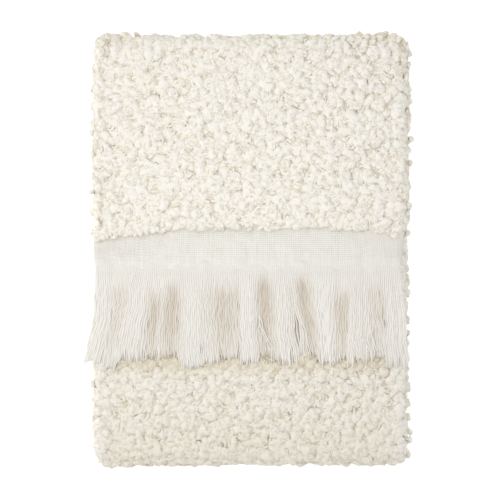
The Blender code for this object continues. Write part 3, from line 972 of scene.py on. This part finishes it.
def fibre_piece(name, points):
    """One joined mesh of spikes, four points and four faces each."""
    triangles = (SPIKE[None] + 4 * np.arange(len(points) // 4)[:, None, None]).reshape(-1, 3)
    uv = np.zeros((len(triangles) * 3, 2))
    values = {"tint": np.ones(len(points)), "crest_vs_painted_shade": np.ones(len(points)), "painted_shade": np.zeros(len(points))}
    return mesh_piece(name, above_floor(points), [], triangles, uv, values, BOUCLE)


# %% [markdown]
# ## The pile
#
# Not all puffs look the same. Those of the top run are light and full, and those under the fringe are
# pressed down. Those of the run below are rounder, and painted creamier and darker as shade, most of all
# under the fringe's tips and towards the front end, while towards the sides they are painted lighter.
# Such shades could be painted on by hand, but they follow from where a puff lies. So they are worked out
# from its place and kept as point values of the mesh, which the finish reads.

# %% Make the puffs
# heights over the floor where the top run's look fades in, and heights on a puff from crease to crest,
# over which its colour goes from painted shade to its own
TOP_HEIGHTS = (0.054, 0.062)
CREASE_HEIGHT, CREST_HEIGHT = 0.0014, 0.0032
LOWER_FULLNESS = 0.20
FLAT_FACING = 0.9
TINT_POWER = 0.7
# painted shade and light: the run below keeps only a share of its random tint and looks creamier, its sides
# are painted lighter, and it gets a base of painted shade
LOWER_RUN_PAINTED_SHADE_TINT = 0.15
SIDE_PAINTED_LIGHT = 0.8
LOWER_RUN_PAINTED_SHADE = 0.16
# where painted shade comes in: y from in front of the fringe's tips to under them, then x towards the
# sides, where painted light takes over, then y towards the front
TIP_PAINTED_SHADE_REACH = (-0.134, -0.116)
SIDE_PAINTED_LIGHT_REACH = (0.145, 0.158)
FRONT_REACH = (0.160, 0.200)
FRONT_END_PAINTED_SHADE = 0.20
# a puff's girth and length that take one unit of the UV map, and how far the puffs' maps lie apart
UV_UNIT = (0.005, 0.01)
PUFF_UV_SPREAD = 50.0


def puff_shades(centre, facing, on_top):
    """Each puff's tint, 1 being lightest, and its painted shade, from where it lies, with painted light at
    the sides.
    """
    # painted light: towards the sides the tint rises and the painted shade fades
    at_side = smooth_step(np.abs(centre[:, 0]), *SIDE_PAINTED_LIGHT_REACH)
    tint = puff_random.uniform(0.0, 1.0, len(centre)) ** TINT_POWER
    tint = tint * (LOWER_RUN_PAINTED_SHADE_TINT + (1.0 - LOWER_RUN_PAINTED_SHADE_TINT) * on_top)
    tint = tint + SIDE_PAINTED_LIGHT * (1.0 - tint) * at_side
    # painted shade under the fringe's tips and towards the front end, on the run below only
    under_tips = smooth_step(centre[:, 1], *TIP_PAINTED_SHADE_REACH) * (facing[:, 2] > FLAT_FACING)
    painted_shade = LOWER_RUN_PAINTED_SHADE + (1.0 - LOWER_RUN_PAINTED_SHADE) * under_tips
    painted_shade = painted_shade + FRONT_END_PAINTED_SHADE * smooth_step(-centre[:, 1], *FRONT_REACH)
    return tint, painted_shade * (1.0 - on_top) * (1.0 - at_side)


def make_puffs(name, u, v, lift, kinds, grid, squash):
    """One joined mesh of puffs at (u, v) on the outer face. Returns it with its fibres' points."""
    centre, across, along, facing = frame_at(u, v, lift)
    axes = puff_axes(across, along, facing)
    shapes = puff_shapes(len(u), kinds)
    on_top = smooth_step(centre[:, 2], *TOP_HEIGHTS)
    fullness = squash * (1.0 + LOWER_FULLNESS * (1.0 - on_top) * (facing[:, 2] > FLAT_FACING))
    points, height = puff_points(centre, axes, shapes, grid, fullness)
    fibres = fibre_points(points, centre)
    tint, painted_shade = (np.repeat(shade, points.shape[1]) for shade in puff_shades(centre, facing, on_top))
    # painted shade by height on the puff: 0 in a crease, 1 on a crest
    crest_vs_painted_shade = smooth_step(height + lift[:, None], CREASE_HEIGHT, CREST_HEIGHT)
    rings, around = grid
    quads, triangles, corner_uvs = ring_faces(len(u), np.arange(1, rings + 1) / (rings + 1), around)
    shift = puff_random.uniform(0.0, PUFF_UV_SPREAD, (len(u), 1, 1, 2))
    stretch = np.stack((shapes[1] / UV_UNIT[0], shapes[0] / UV_UNIT[1]), axis=-1)[:, None, None, :]
    uv = copied_uv(corner_uvs, shift, stretch)
    values = {"tint": tint, "crest_vs_painted_shade": crest_vs_painted_shade, "painted_shade": painted_shade}
    points = above_floor(points.reshape(-1, 3))
    return mesh_piece(name, points, quads, triangles, uv, values, BOUCLE), fibres


# %% Cover the cloth
PUFFS_A_PIECE = 1000
FRINGE_PRESS = 0.0032
populations = (
    # name, u, v, lowest and highest lift, kinds, grid, squash
    ("top", top_u, top_v, (-0.0002, 0.0009), PUFF_KINDS, PUFF_GRID, TOP_SQUASH),
    ("side", side_u, side_v, (-0.0014, 0.0014), PUFF_KINDS, PUFF_GRID, SIDE_SQUASH),
    ("beside", beside_u, beside_v, (0.0016, 0.0030), PUFF_KINDS[:2], PUFF_GRID, SIDE_SQUASH),
    ("curl", curl_u, curl_v, (0.0012, 0.0024), CURL_KINDS, CURL_GRID, TOP_SQUASH),
    ("nub", nub_u, nub_v, (0.0030, 0.0062), NUB_KINDS, CURL_GRID, NUB_SQUASH),
    ("hanging_nub", hanging_u, hanging_v, (0.0008, 0.0020), NUB_KINDS, CURL_GRID, SIDE_SQUASH),
)
for kind, kind_u, kind_v, lifts, *look in populations:
    kind_lift = puff_random.uniform(*lifts, len(kind_u)) - FRINGE_PRESS * under_fringe(kind_u, kind_v)
    for part, start in enumerate(range(0, len(kind_u), PUFFS_A_PIECE)):
        where = (values[start:start + PUFFS_A_PIECE] for values in (kind_u, kind_v, kind_lift))
        piece, fibres = make_puffs(f"boucle_{kind}_{part + 1}", *where, *look)
        if kind != "curl":
            fibre_piece(f"boucle_{kind}_fibres_{part + 1}", fibres)

# %% [markdown]
# ## The yarn's finish
#
# The fringe is the cloth's warp: a plied yarn, smooth and matt. Its colour is a little warmer and darker
# than the puffs', as painted shade that the yarns cast on each other. Its plies could be modelled as
# strands wound round each other, but at 2 mm a yarn they are finer than the faces, so they are slanted
# streaks of relief. Just below the band a few wefts still hold the yarns, and show as ridges across them.

# %% Yarn finish
# painted shade: the yarns' colour is a little darker than the puffs', and darker still in the valleys
FRINGE_LIGHT = (0.872, 0.848, 0.798, 1.0)
FRINGE_PAINTED_SHADE = (0.666, 0.594, 0.490, 1.0)
# streaks round the yarn and along it, and their slant in radians
PLY_TURNS = (3.0, 60.0)
PLY_SLANT = 0.35
PLY_DEPTH = 0.0003


def yarn_finish():
    """Loose warp yarns: plied, so fine grooves wind round them, each yarn a little different.

    The wefts' ridges are the absolute sine of the point value "weft_angle" and fade out with the point
    value "woven". The point value "tint" is 1 where the yarn is lightest, and lower where it is painted
    in shade.
    """
    finish = Finish("Ivory warp yarn")
    plies = finish.uv_noise(PLY_TURNS, detail=2.0, turned=PLY_SLANT)
    wefts = finish.math("ABSOLUTE", finish.math("SINE", finish.value_of("weft_angle")))
    wefts = finish.math("MULTIPLY", wefts, finish.value_of("woven"))
    colour = finish.mixed(finish.value_of("tint"), FRINGE_PAINTED_SHADE, FRINGE_LIGHT)
    return finish.finished(colour, finish.math("ADD", plies, wefts), PLY_DEPTH, roughness=0.9)


YARN = yarn_finish()

# %% [markdown]
# ## The fringe
#
# The fringe is the cloth's own warp, left unwoven. So each yarn starts where its warp line ends at the
# band's edge and lies down over the boucle below. The top yarns form a curtain: they cling together in
# tufts that part, lean and spread again at their tips, with low valleys between, whose beige is painted
# shade. The next layer's yarns lie in the grooves between the top ones, painted darker as shade. The two
# lowest layers spread evenly, fill the valleys, and are painted dark as shade.
# Hair curves could be combed into the same tufts, but the export keeps meshes only, so yarns are tubes
# along paths that a table of tufts gives.

# %% Tufts
TUFTS = np.array((
    # root_end, tip_start, tip_end, tip_y, rise, lean_power, onset
    (-0.144, -0.1745, -0.1583, -0.116, 1.00, 2.0, 0.30),
    (-0.123, -0.1573, -0.1438, -0.123, 0.58, 1.3, 0.30),
    (-0.101, -0.1445, -0.1088, -0.114, 1.00, 1.0, 0.26),
    (-0.093, -0.1080, -0.1005, -0.110, 0.22, 1.0, 0.45),
    (-0.088, -0.0998, -0.0945, -0.113, 0.62, 1.0, 0.40),
    (-0.075, -0.0938, -0.0778, -0.108, 0.24, 1.0, 0.32),
    (-0.054, -0.0770, -0.0500, -0.121, 0.96, 1.0, 0.30),
    (-0.036, -0.0494, -0.0330, -0.116, 0.72, 1.2, 0.30),
    (-0.025, -0.0324, -0.0235, -0.112, 0.34, 1.2, 0.34),
    (-0.013, -0.0230, -0.0130, -0.110, 0.46, 1.2, 0.34),
    (0.006, -0.0122, 0.0088, -0.117, 1.12, 1.2, 0.30),
    (0.020, 0.0096, 0.0218, -0.106, 0.14, 1.0, 0.22),
    (0.040, 0.0222, 0.0515, -0.117, 0.92, 1.2, 0.30),
    (0.045, 0.0525, 0.0608, -0.109, 0.80, 1.0, 0.30),
    (0.056, 0.0615, 0.0706, -0.106, 0.14, 1.0, 0.20),
    (0.090, 0.0712, 0.0912, -0.117, 1.02, 1.0, 0.30),
    (0.101, 0.0920, 0.1000, -0.112, 0.28, 1.2, 0.40),
    (0.109, 0.1006, 0.1069, -0.120, 0.90, 1.4, 0.30),
    (0.126, 0.1075, 0.1313, -0.113, 0.88, 1.2, 0.30),
    (0.137, 0.1318, 0.1396, -0.110, 0.60, 1.2, 0.34),
    (0.150, 0.1401, 0.1650, -0.121, 1.10, 0.8, 0.30),
))
TUFT_PLATEAU = (0.30, 0.70)
print(len(TUFTS), "tufts")


def tuft_of(x):
    """Each root's tuft, its share across it from 0 to 1, the tuft's two edges, and its rise and onset.

    Rise and onset are its tuft's own in the tuft's middle part, and pass evenly to the next tuft's between.
    """
    row = np.minimum(np.searchsorted(TUFTS[:, 0], x), len(TUFTS) - 1)
    edges = np.concatenate(([x.min()], TUFTS[:-1, 0], [max(x.max(), TUFTS[-1, 0])]))
    share = np.clip((x - edges[row]) / (edges[row + 1] - edges[row]), 0.0, 1.0)
    plateaus = (edges[:-1, None] + np.diff(edges)[:, None] * np.array(TUFT_PLATEAU)).ravel()
    rise, onset = (np.interp(x, plateaus, np.repeat(TUFTS[:, k], 2)) for k in (4, 6))
    return row, share, edges[row], edges[row + 1], rise, onset


# %% Where the yarns start
# how far inside the band's edge a yarn's first points lie
INSIDE_BAND = (0.0090, 0.0060, 0.0035, 0.0015)
# a layer that faces up or down by more than this is flat, and not in a turn
FACES_FLAT = 0.5
ROOT_TINT = 0.98
yarn_random = np.random.default_rng(41)


def roots_of(is_top):
    """The warp yarns' points inside the band and at its edge: of the top layer, or of all the others."""
    u = np.arange(WARP_PITCH / 2, CLOTH_WIDTH, WARP_PITCH)
    height = np.interp(u, ACROSS[:, 0], ACROSS[:, 2])
    flat_layer = np.abs(np.interp(u, ACROSS[:, 0], ACROSS[:, 4])) > FACES_FLAT
    u = u[(flat_layer & (height > LAYER_PITCH)) == is_top]
    return place(u[:, None], np.array((*INSIDE_BAND, 0.0))[None, :], 0.0)


def loose_start(roots, stations):
    """Shares s of the loose length, each root's x from the fold's middle, its y, and its height."""
    s = np.linspace(0.0, 1.0, stations + 1)[None, 1:]
    return s, *(roots[:, -1:, axis] - origin for axis, origin in enumerate((SHIFT[0], 0.0, TOP_RUN_FLOOR)))


def whole_yarns(roots, x, travelled, level, tint, root_tint):
    """Middle lines and tints of yarns, first their points inside the band and then the loose ones."""
    loose = np.stack((x + SHIFT[0], roots[:, -1:, 1] - travelled, TOP_RUN_FLOOR + level), axis=-1)
    tints = np.concatenate((np.broadcast_to(root_tint, roots.shape[:2]), tint), axis=1)
    return np.concatenate((roots, loose), axis=1), np.clip(tints, 0.0, 1.0)


# %% How a yarn wanders
# size and wave length of what a whole tuft does, and of what each yarn does
TUFT_WAVES = ((0.00070, 0.0620), (0.00045, 0.0310))
OWN_WAVES = ((0.00034, 0.0240), (0.00022, 0.0125))


def random_phases(count):
    """Two columns of phases for each of count things."""
    return yarn_random.uniform(0.0, CIRCLE, (2, count, 1))


def drawn(least, most, count):
    """A column of count numbers, drawn evenly between least and most."""
    return yarn_random.uniform(least, most, (count, 1))


def waves_along(waves, travelled, phases):
    """Sum of sines along the yarn, each of a size and a wave length, from its own phase."""
    total = 0.0
    for (size, length), phase in zip(waves, phases):
        total = total + size * np.sin(CIRCLE * travelled / length + phase)
    return total


# %% Paths of the curtain
CURTAIN_STATIONS = 29
# heights over the floor of the top run
VALLEY_LEVEL = 0.0019
RIDGE_LEVEL = 0.0045
TIP_LEVEL = 0.0026
# how much yarns differ: where they end, how they flick there, and their own place, level and tint
TIP_SCATTER = (-0.0040, 0.0028)
FLICK = 0.0009
OWN_PLACE = 0.0004
OWN_LEVEL = 0.0002
TINT_SPREAD = 0.10
# from DROOP_START on, yarns fall with the pile's side, by this times the square of the way past it
SIDE_DROOP = 32.0
DROOP_START = 0.160
# how far tips come down to their level, how much sooner the painted shade starts than rise, and how
# much tips lose it
TIP_DROP = 0.75
SHADE_LEAD = 0.25
TIP_RELIGHT = 0.45
# shares of the loose length over which all this comes in
LOOSENING = (0.03, 0.30)
FLICK_REACH = (0.70, 1.15)
OWN_PLACE_REACH = (0.10, 0.60)
RISE_START, RISE_LAG = 0.02, 0.12
TIP_DROP_REACH = (0.62, 1.05)
RELIGHT_REACH = (0.55, 1.0)


def curtain_paths(roots):
    """Middle lines of the top yarns and their tints.

    s runs from 0 at the band's edge to 1 at the tip. The tuft's middle leans by s to its own power, and
    its half width goes from that of its roots to that of its tips. From the tuft's onset on, the level is
    as high as the rise says, and the tint follows it as painted shade: darker where the tuft lies low, and
    lighter again towards the tips.
    """
    s, x, y, z = loose_start(roots, CURTAIN_STATIONS)
    count = len(x)
    row, share, low_edge, high_edge, rise, onset = tuft_of(x)
    tip_start, tip_end, tip_y, power = (TUFTS[row, k] for k in (1, 2, 3, 5))
    middle = (low_edge + high_edge) / 2
    middle = middle + ((tip_start + tip_end) / 2 - middle) * s ** power
    half = (high_edge - low_edge) / 2
    half = half + ((tip_end - tip_start) / 2 - half) * s
    travelled = s * (y - SHIFT[1] - (tip_y + drawn(*TIP_SCATTER, count)))
    loosening = smooth_step(s, *LOOSENING)
    waves = waves_along(TUFT_WAVES, travelled, random_phases(len(TUFTS))[:, row[:, 0]])
    waves = waves + waves_along(OWN_WAVES, travelled, random_phases(count))
    waves = waves + yarn_random.normal(0.0, FLICK, (count, 1)) * smooth_step(s, *FLICK_REACH)
    waves = waves + drawn(-OWN_PLACE, OWN_PLACE, count) * smooth_step(s, *OWN_PLACE_REACH)
    path_x = middle + (2.0 * share - 1.0) * half + waves * loosening
    height = VALLEY_LEVEL + (RIDGE_LEVEL - VALLEY_LEVEL) * rise
    level = z + (height - z) * smooth_step(s, RISE_START, onset + RISE_LAG)
    level = level + (TIP_LEVEL - level) * TIP_DROP * smooth_step(s, *TIP_DROP_REACH)
    level = level + drawn(-OWN_LEVEL, OWN_LEVEL, count) * loosening
    level = level + waves_along(OWN_WAVES, travelled, random_phases(count)) * loosening
    level = level - SIDE_DROOP * np.maximum(np.abs(path_x) - DROOP_START, 0.0) ** 2
    shaded = smooth_step(s, np.maximum(onset - SHADE_LEAD, RISE_START), onset)
    shaded = shaded * (1.0 - TIP_RELIGHT * smooth_step(s, *RELIGHT_REACH))
    # painted shade: the tint falls with the tuft's rise, so low tufts look beige
    tint = ROOT_TINT + (np.clip(rise, 0.0, 1.0) - ROOT_TINT) * shaded
    tint = tint + drawn(-TINT_SPREAD, TINT_SPREAD, count) * loosening
    return whole_yarns(roots, path_x, travelled, level, tint, tint[:, :1])


# %% Paths in the grooves
# a yarn lies under its neighbours by the least, and by the depth more from GROOVE_START loose points on
LEAST_GROOVE = 0.0002
GROOVE_DEPTH = 0.0005
GROOVE_START = 5
# painted shade: how much darker a groove yarn is than the two above it
GROOVE_SHADE = 0.09


def groove_paths(paths, tints):
    """Yarns of the layer below, each half-way between two top ones in their groove, and in painted shade."""
    between = (paths[:-1] + paths[1:]) / 2
    deep = smooth_step(np.arange(paths.shape[1])[None, :], 0, len(INSIDE_BAND) + GROOVE_START)
    between[..., 2] -= LEAST_GROOVE + GROOVE_DEPTH * deep
    return between, np.clip((tints[:-1] + tints[1:]) / 2 - GROOVE_SHADE * deep, 0.0, 1.0)


# %% Paths of the lower yarns
FILL_STATIONS = 11
FILL_LEVELS = (0.0004, 0.0011, 0.0016, 0.0016)
FILL_WIDENING = 1.03
FILL_TIP_Y = -0.1075
# size, turns a metre, and how much the phase grows from layer to layer
FILL_SWAY = (0.0016, 9.0, 1.3)
FILL_RAGGED = (0.004, 13.0, 2.0)
FILL_PLACE = 0.0006
FILL_LENGTH = 0.002
FILL_LEVEL_SPREAD = 0.0003
# painted shade: the tint the lowest yarns fade to once loose
FILL_PAINTED_SHADE_TINT = 0.16
SINK_REACH = (0.0, 0.30)
FILL_TIP_REACH = (0.80, 1.0)


def fill_paths(roots):
    """Yarns of the lowest layers and of the turns: spread evenly, near the cloth below, in painted shade."""
    s, x, y, z = loose_start(roots, FILL_STATIONS)
    count = len(x)
    layer = np.clip(np.round((z / SHARE_AT_BAND_END - SKIN) / LAYER_PITCH), 0, LAYERS - 1).astype(int)
    sway, ragged = (
        size * np.sin(CIRCLE * turns * x + growth * layer) for size, turns, growth in (FILL_SWAY, FILL_RAGGED)
    )
    tip_x = x * FILL_WIDENING + sway + yarn_random.normal(0.0, FILL_PLACE, (count, 1))
    tip_y = FILL_TIP_Y + ragged + drawn(-FILL_LENGTH, FILL_LENGTH, count)
    travelled = s * (y - SHIFT[1] - tip_y)
    loosening = smooth_step(s, *LOOSENING)
    path_x = x + (tip_x - x) * s + waves_along(OWN_WAVES, travelled, random_phases(count)) * loosening
    height = np.array(FILL_LEVELS)[layer] + drawn(-FILL_LEVEL_SPREAD, FILL_LEVEL_SPREAD, count)
    level = z + (height - z) * smooth_step(s, *SINK_REACH)
    level = level + (TIP_DROP * TIP_LEVEL - level) * smooth_step(s, *FILL_TIP_REACH)
    level = level + waves_along(OWN_WAVES, travelled, random_phases(count)) * loosening
    tint = ROOT_TINT + (FILL_PAINTED_SHADE_TINT - ROOT_TINT) * loosening + drawn(-TINT_SPREAD, TINT_SPREAD, count)
    return whole_yarns(roots, path_x, travelled, level, tint, ROOT_TINT)


# %% Paths of stray yarns
STRAYS = np.array((
    # start_x, start_y, end_x, end_y, bow, level
    (-0.1200, -0.0280, -0.1365, -0.1060, -0.0060, 0.0036),
    (-0.1290, -0.0310, -0.1313, -0.0440, 0.0010, 0.0042),
    (-0.0171, -0.0740, -0.0099, -0.0990, 0.0012, 0.0056),
    (0.0078, -0.0640, 0.0223, -0.1060, -0.0028, 0.0046),
    (0.0092, -0.0660, 0.0243, -0.1050, -0.0022, 0.0046),
    (0.0400, -0.0420, 0.0620, -0.1080, 0.0030, 0.0050),
    (0.1137, -0.0760, 0.1272, -0.1090, -0.0026, 0.0052),
    (0.1220, -0.0680, 0.1344, -0.1095, -0.0020, 0.0052),
    (0.1040, -0.0900, 0.1150, -0.1120, 0.0018, 0.0046),
    (0.1470, -0.0700, 0.1600, -0.1160, 0.0020, 0.0050),
))
THREADS = np.array((
    # loose threads of the boucle, with the same columns
    (0.1355, 0.1935, 0.1505, 0.1822, 0.0034, 0.0245),
    (0.1390, 0.1705, 0.1450, 0.1748, 0.0006, 0.0240),
    (0.1600, -0.1812, 0.1697, -0.1889, 0.0003, 0.0030),
))
STRAY_SINK = 0.0006
# how deep a stray yarn dips in at its start and at its end, and over which shares of its length
START_DIP, START_DIP_REACH = 0.0022, (0.0, 0.15)
END_DIP, END_DIP_REACH = 0.0018, (0.75, 1.0)
STRAY_TINT = 0.95


def stray_paths(rows):
    """Yarns that cross the others: straight from start to end, bowed sideways by a half sine."""
    s = np.linspace(0.0, 1.0, CURTAIN_STATIONS)[None, :]
    start_x, start_y, end_x, end_y, bow, level = rows.T[:, :, None]
    path_x = start_x + (end_x - start_x) * s + bow * np.sin(math.pi * s)
    path_y = start_y + (end_y - start_y) * s
    path_x = path_x + waves_along(OWN_WAVES, start_y - path_y, random_phases(len(rows)))
    dip = START_DIP * (1.0 - smooth_step(s, *START_DIP_REACH)) + END_DIP * smooth_step(s, *END_DIP_REACH)
    path_z = TOP_RUN_FLOOR + level - STRAY_SINK - dip
    paths = np.stack((path_x + SHIFT[0], path_y + SHIFT[1], path_z), axis=-1)
    return paths, np.full(paths.shape[:2], STRAY_TINT)


# %% Yarns as tubes
YARN_SIDES = 6
YARN_RADIUS = 0.00100
YARN_SQUASH = 0.72
INSIDE_THICKNESS = (0.45, 0.75, 0.92, 1.0)
TIP_THICKNESS = (0.92, 0.78, 0.45)
ROOT_POINT = 0.0002
TIP_POINT = 0.0005
# the place round the UV map that all of a cap has, and how far the yarns' maps lie apart
CAP_U = 0.5
YARN_UV_SPREAD = 30.0
WOVEN_SHARE = 0.9
WOVEN_REACH = (0.002, 0.014)


def tubes(name, paths, tints, radius=YARN_RADIUS):
    """Six-sided tubes along many paths at once, thinner at both ends, which a point closes."""
    count, stations_each = paths.shape[:2]
    heading = unit(np.gradient(paths, axis=1))
    sideways = unit(np.cross(heading, (0.0, 0.0, 1.0)))
    upwards = np.cross(sideways, heading)
    q = np.linspace(0.0, -CIRCLE, YARN_SIDES, endpoint=False)[:, None]
    ring = sideways[:, :, None, :] * np.cos(q) + YARN_SQUASH * upwards[:, :, None, :] * np.sin(q)
    thick = np.full(stations_each, radius)
    thick[:len(INSIDE_THICKNESS)] *= INSIDE_THICKNESS
    thick[-len(TIP_THICKNESS):] *= TIP_THICKNESS
    rings = paths[:, :, None, :] + ring * thick[None, :, None, None]
    ends = (paths[:, 0] - heading[:, 0] * ROOT_POINT, paths[:, -1] + heading[:, -1] * TIP_POINT)
    points = np.concatenate((rings.reshape(count, -1, 3), np.stack(ends, axis=1)), axis=1)
    quads, triangles, corner_uvs = ring_faces(count, np.linspace(0.0, 1.0, stations_each), YARN_SIDES)
    corner_uvs[1][..., 0] = CAP_U
    uv = copied_uv(corner_uvs, yarn_random.uniform(0.0, YARN_UV_SPREAD, (count, 1, 1, 2)))
    below_edge = BAND_END_Y + SHIFT[1] - points[..., 1]
    in_turn = 0.5 * (np.arange(count) % 2)[:, None]
    values = {
        "tint": np.concatenate((np.repeat(tints, YARN_SIDES, axis=1), tints[:, :1], tints[:, -1:]), axis=1),
        "woven": WOVEN_SHARE * (1.0 - smooth_step(below_edge, *WOVEN_REACH)),
        "weft_angle": math.pi * (below_edge / WEFT_PITCH + in_turn),
    }
    return mesh_piece(name, points.reshape(-1, 3), quads, triangles, uv, values, YARN)


# %% Make the fringe
top_paths, top_tints = curtain_paths(roots_of(True))
fringe_pieces = [
    tubes("fringe_top_yarns", top_paths, top_tints),
    tubes("fringe_groove_yarns", *groove_paths(top_paths, top_tints)),
    tubes("fringe_lower_yarns", *fill_paths(roots_of(False))),
    tubes("fringe_stray_yarns", *stray_paths(STRAYS), radius=0.75 * YARN_RADIUS),
    tubes("boucle_threads", *stray_paths(THREADS), radius=0.5 * YARN_RADIUS),
]
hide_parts("warp_fringe")

# %% [markdown]

# %% [markdown]
# ## Floor, light and camera
#
# The throw lies on a plain white surface, which glows a little so that it stays white right up to the
# pile. A small lamp would draw hard shadows between the puffs, so the lights are wide: one from the left,
# a weak one over the flap, and an even white sky. The camera looks straight down.

# %% Floor
FLOOR_SIZE = 6.0
FLOOR_GLOW = 0.40


def make_floor():
    """A flat white sheet to lie on."""
    mesh = bpy.data.meshes.new("floor")
    corners = [(x * FLOOR_SIZE / 2, y * FLOOR_SIZE / 2, 0.0) for x, y in ((-1, -1), (1, -1), (1, 1), (-1, 1))]
    mesh.from_pydata(corners, [], [(0, 1, 2, 3)])
    floor = object_of("floor", mesh)
    finish = Finish("White floor")
    for name, value in (
        ("Base Color", (0.95, 0.95, 0.95, 1.0)),
        ("Roughness", 0.9),
        ("Emission Color", (1.0, 1.0, 1.0, 1.0)),
        ("Emission Strength", FLOOR_GLOW),
    ):
        finish.feed(finish.shader.inputs[name], value)
    mesh.materials.append(finish.material)


make_floor()

# %% Lights
LIGHTS = (
    # x, y, z, size, power
    (-0.95, 0.05, 0.80, 0.90, 4.0),
    (0.00, 0.06, 0.50, 0.35, 0.40),
)
PILE_MIDDLE = Vector((0.0, 0.05, 0.03))
LAMP_COLOUR = (0.98, 0.99, 1.0)
SKY_STRENGTH = 0.75


def make_lights():
    """Soft square lights that look at the pile, and an even white sky."""
    for *centre, size, power in LIGHTS:
        light = bpy.data.lights.new("soft light", "AREA")
        light.size = size
        light.energy = power
        light.color = LAMP_COLOUR
        lamp = object_of("soft light", light)
        lamp.location = centre
        lamp.rotation_euler = (PILE_MIDDLE - lamp.location).to_track_quat("-Z", "Y").to_euler()
    world = bpy.data.worlds.new("studio")
    world.use_nodes = True
    sky = world.node_tree.nodes["Background"]
    sky.inputs["Color"].default_value = (1.0, 1.0, 1.0, 1.0)
    sky.inputs["Strength"].default_value = SKY_STRENGTH
    bpy.context.scene.world = world


make_lights()
bpy.context.scene.view_settings.view_transform = "Standard"

# %% Camera
PICTURE_PIXELS = 500
METRES_A_PIXEL = 0.001038
LENS = 100.0
SENSOR = 36.0
VIEW_CENTRE = (0.0005, 0.0014)
FOCUS_HEIGHT = 0.062


def make_camera():
    """Straight above the pile, so far that the picture's width spans its real width at the pile's top."""
    data = bpy.data.cameras.new("camera")
    data.lens = LENS
    data.sensor_width = SENSOR
    camera = object_of("camera", data)
    distance = PICTURE_PIXELS * METRES_A_PIXEL * LENS / SENSOR
    camera.location = (*VIEW_CENTRE, FOCUS_HEIGHT + distance)
    bpy.context.scene.camera = camera


make_camera()
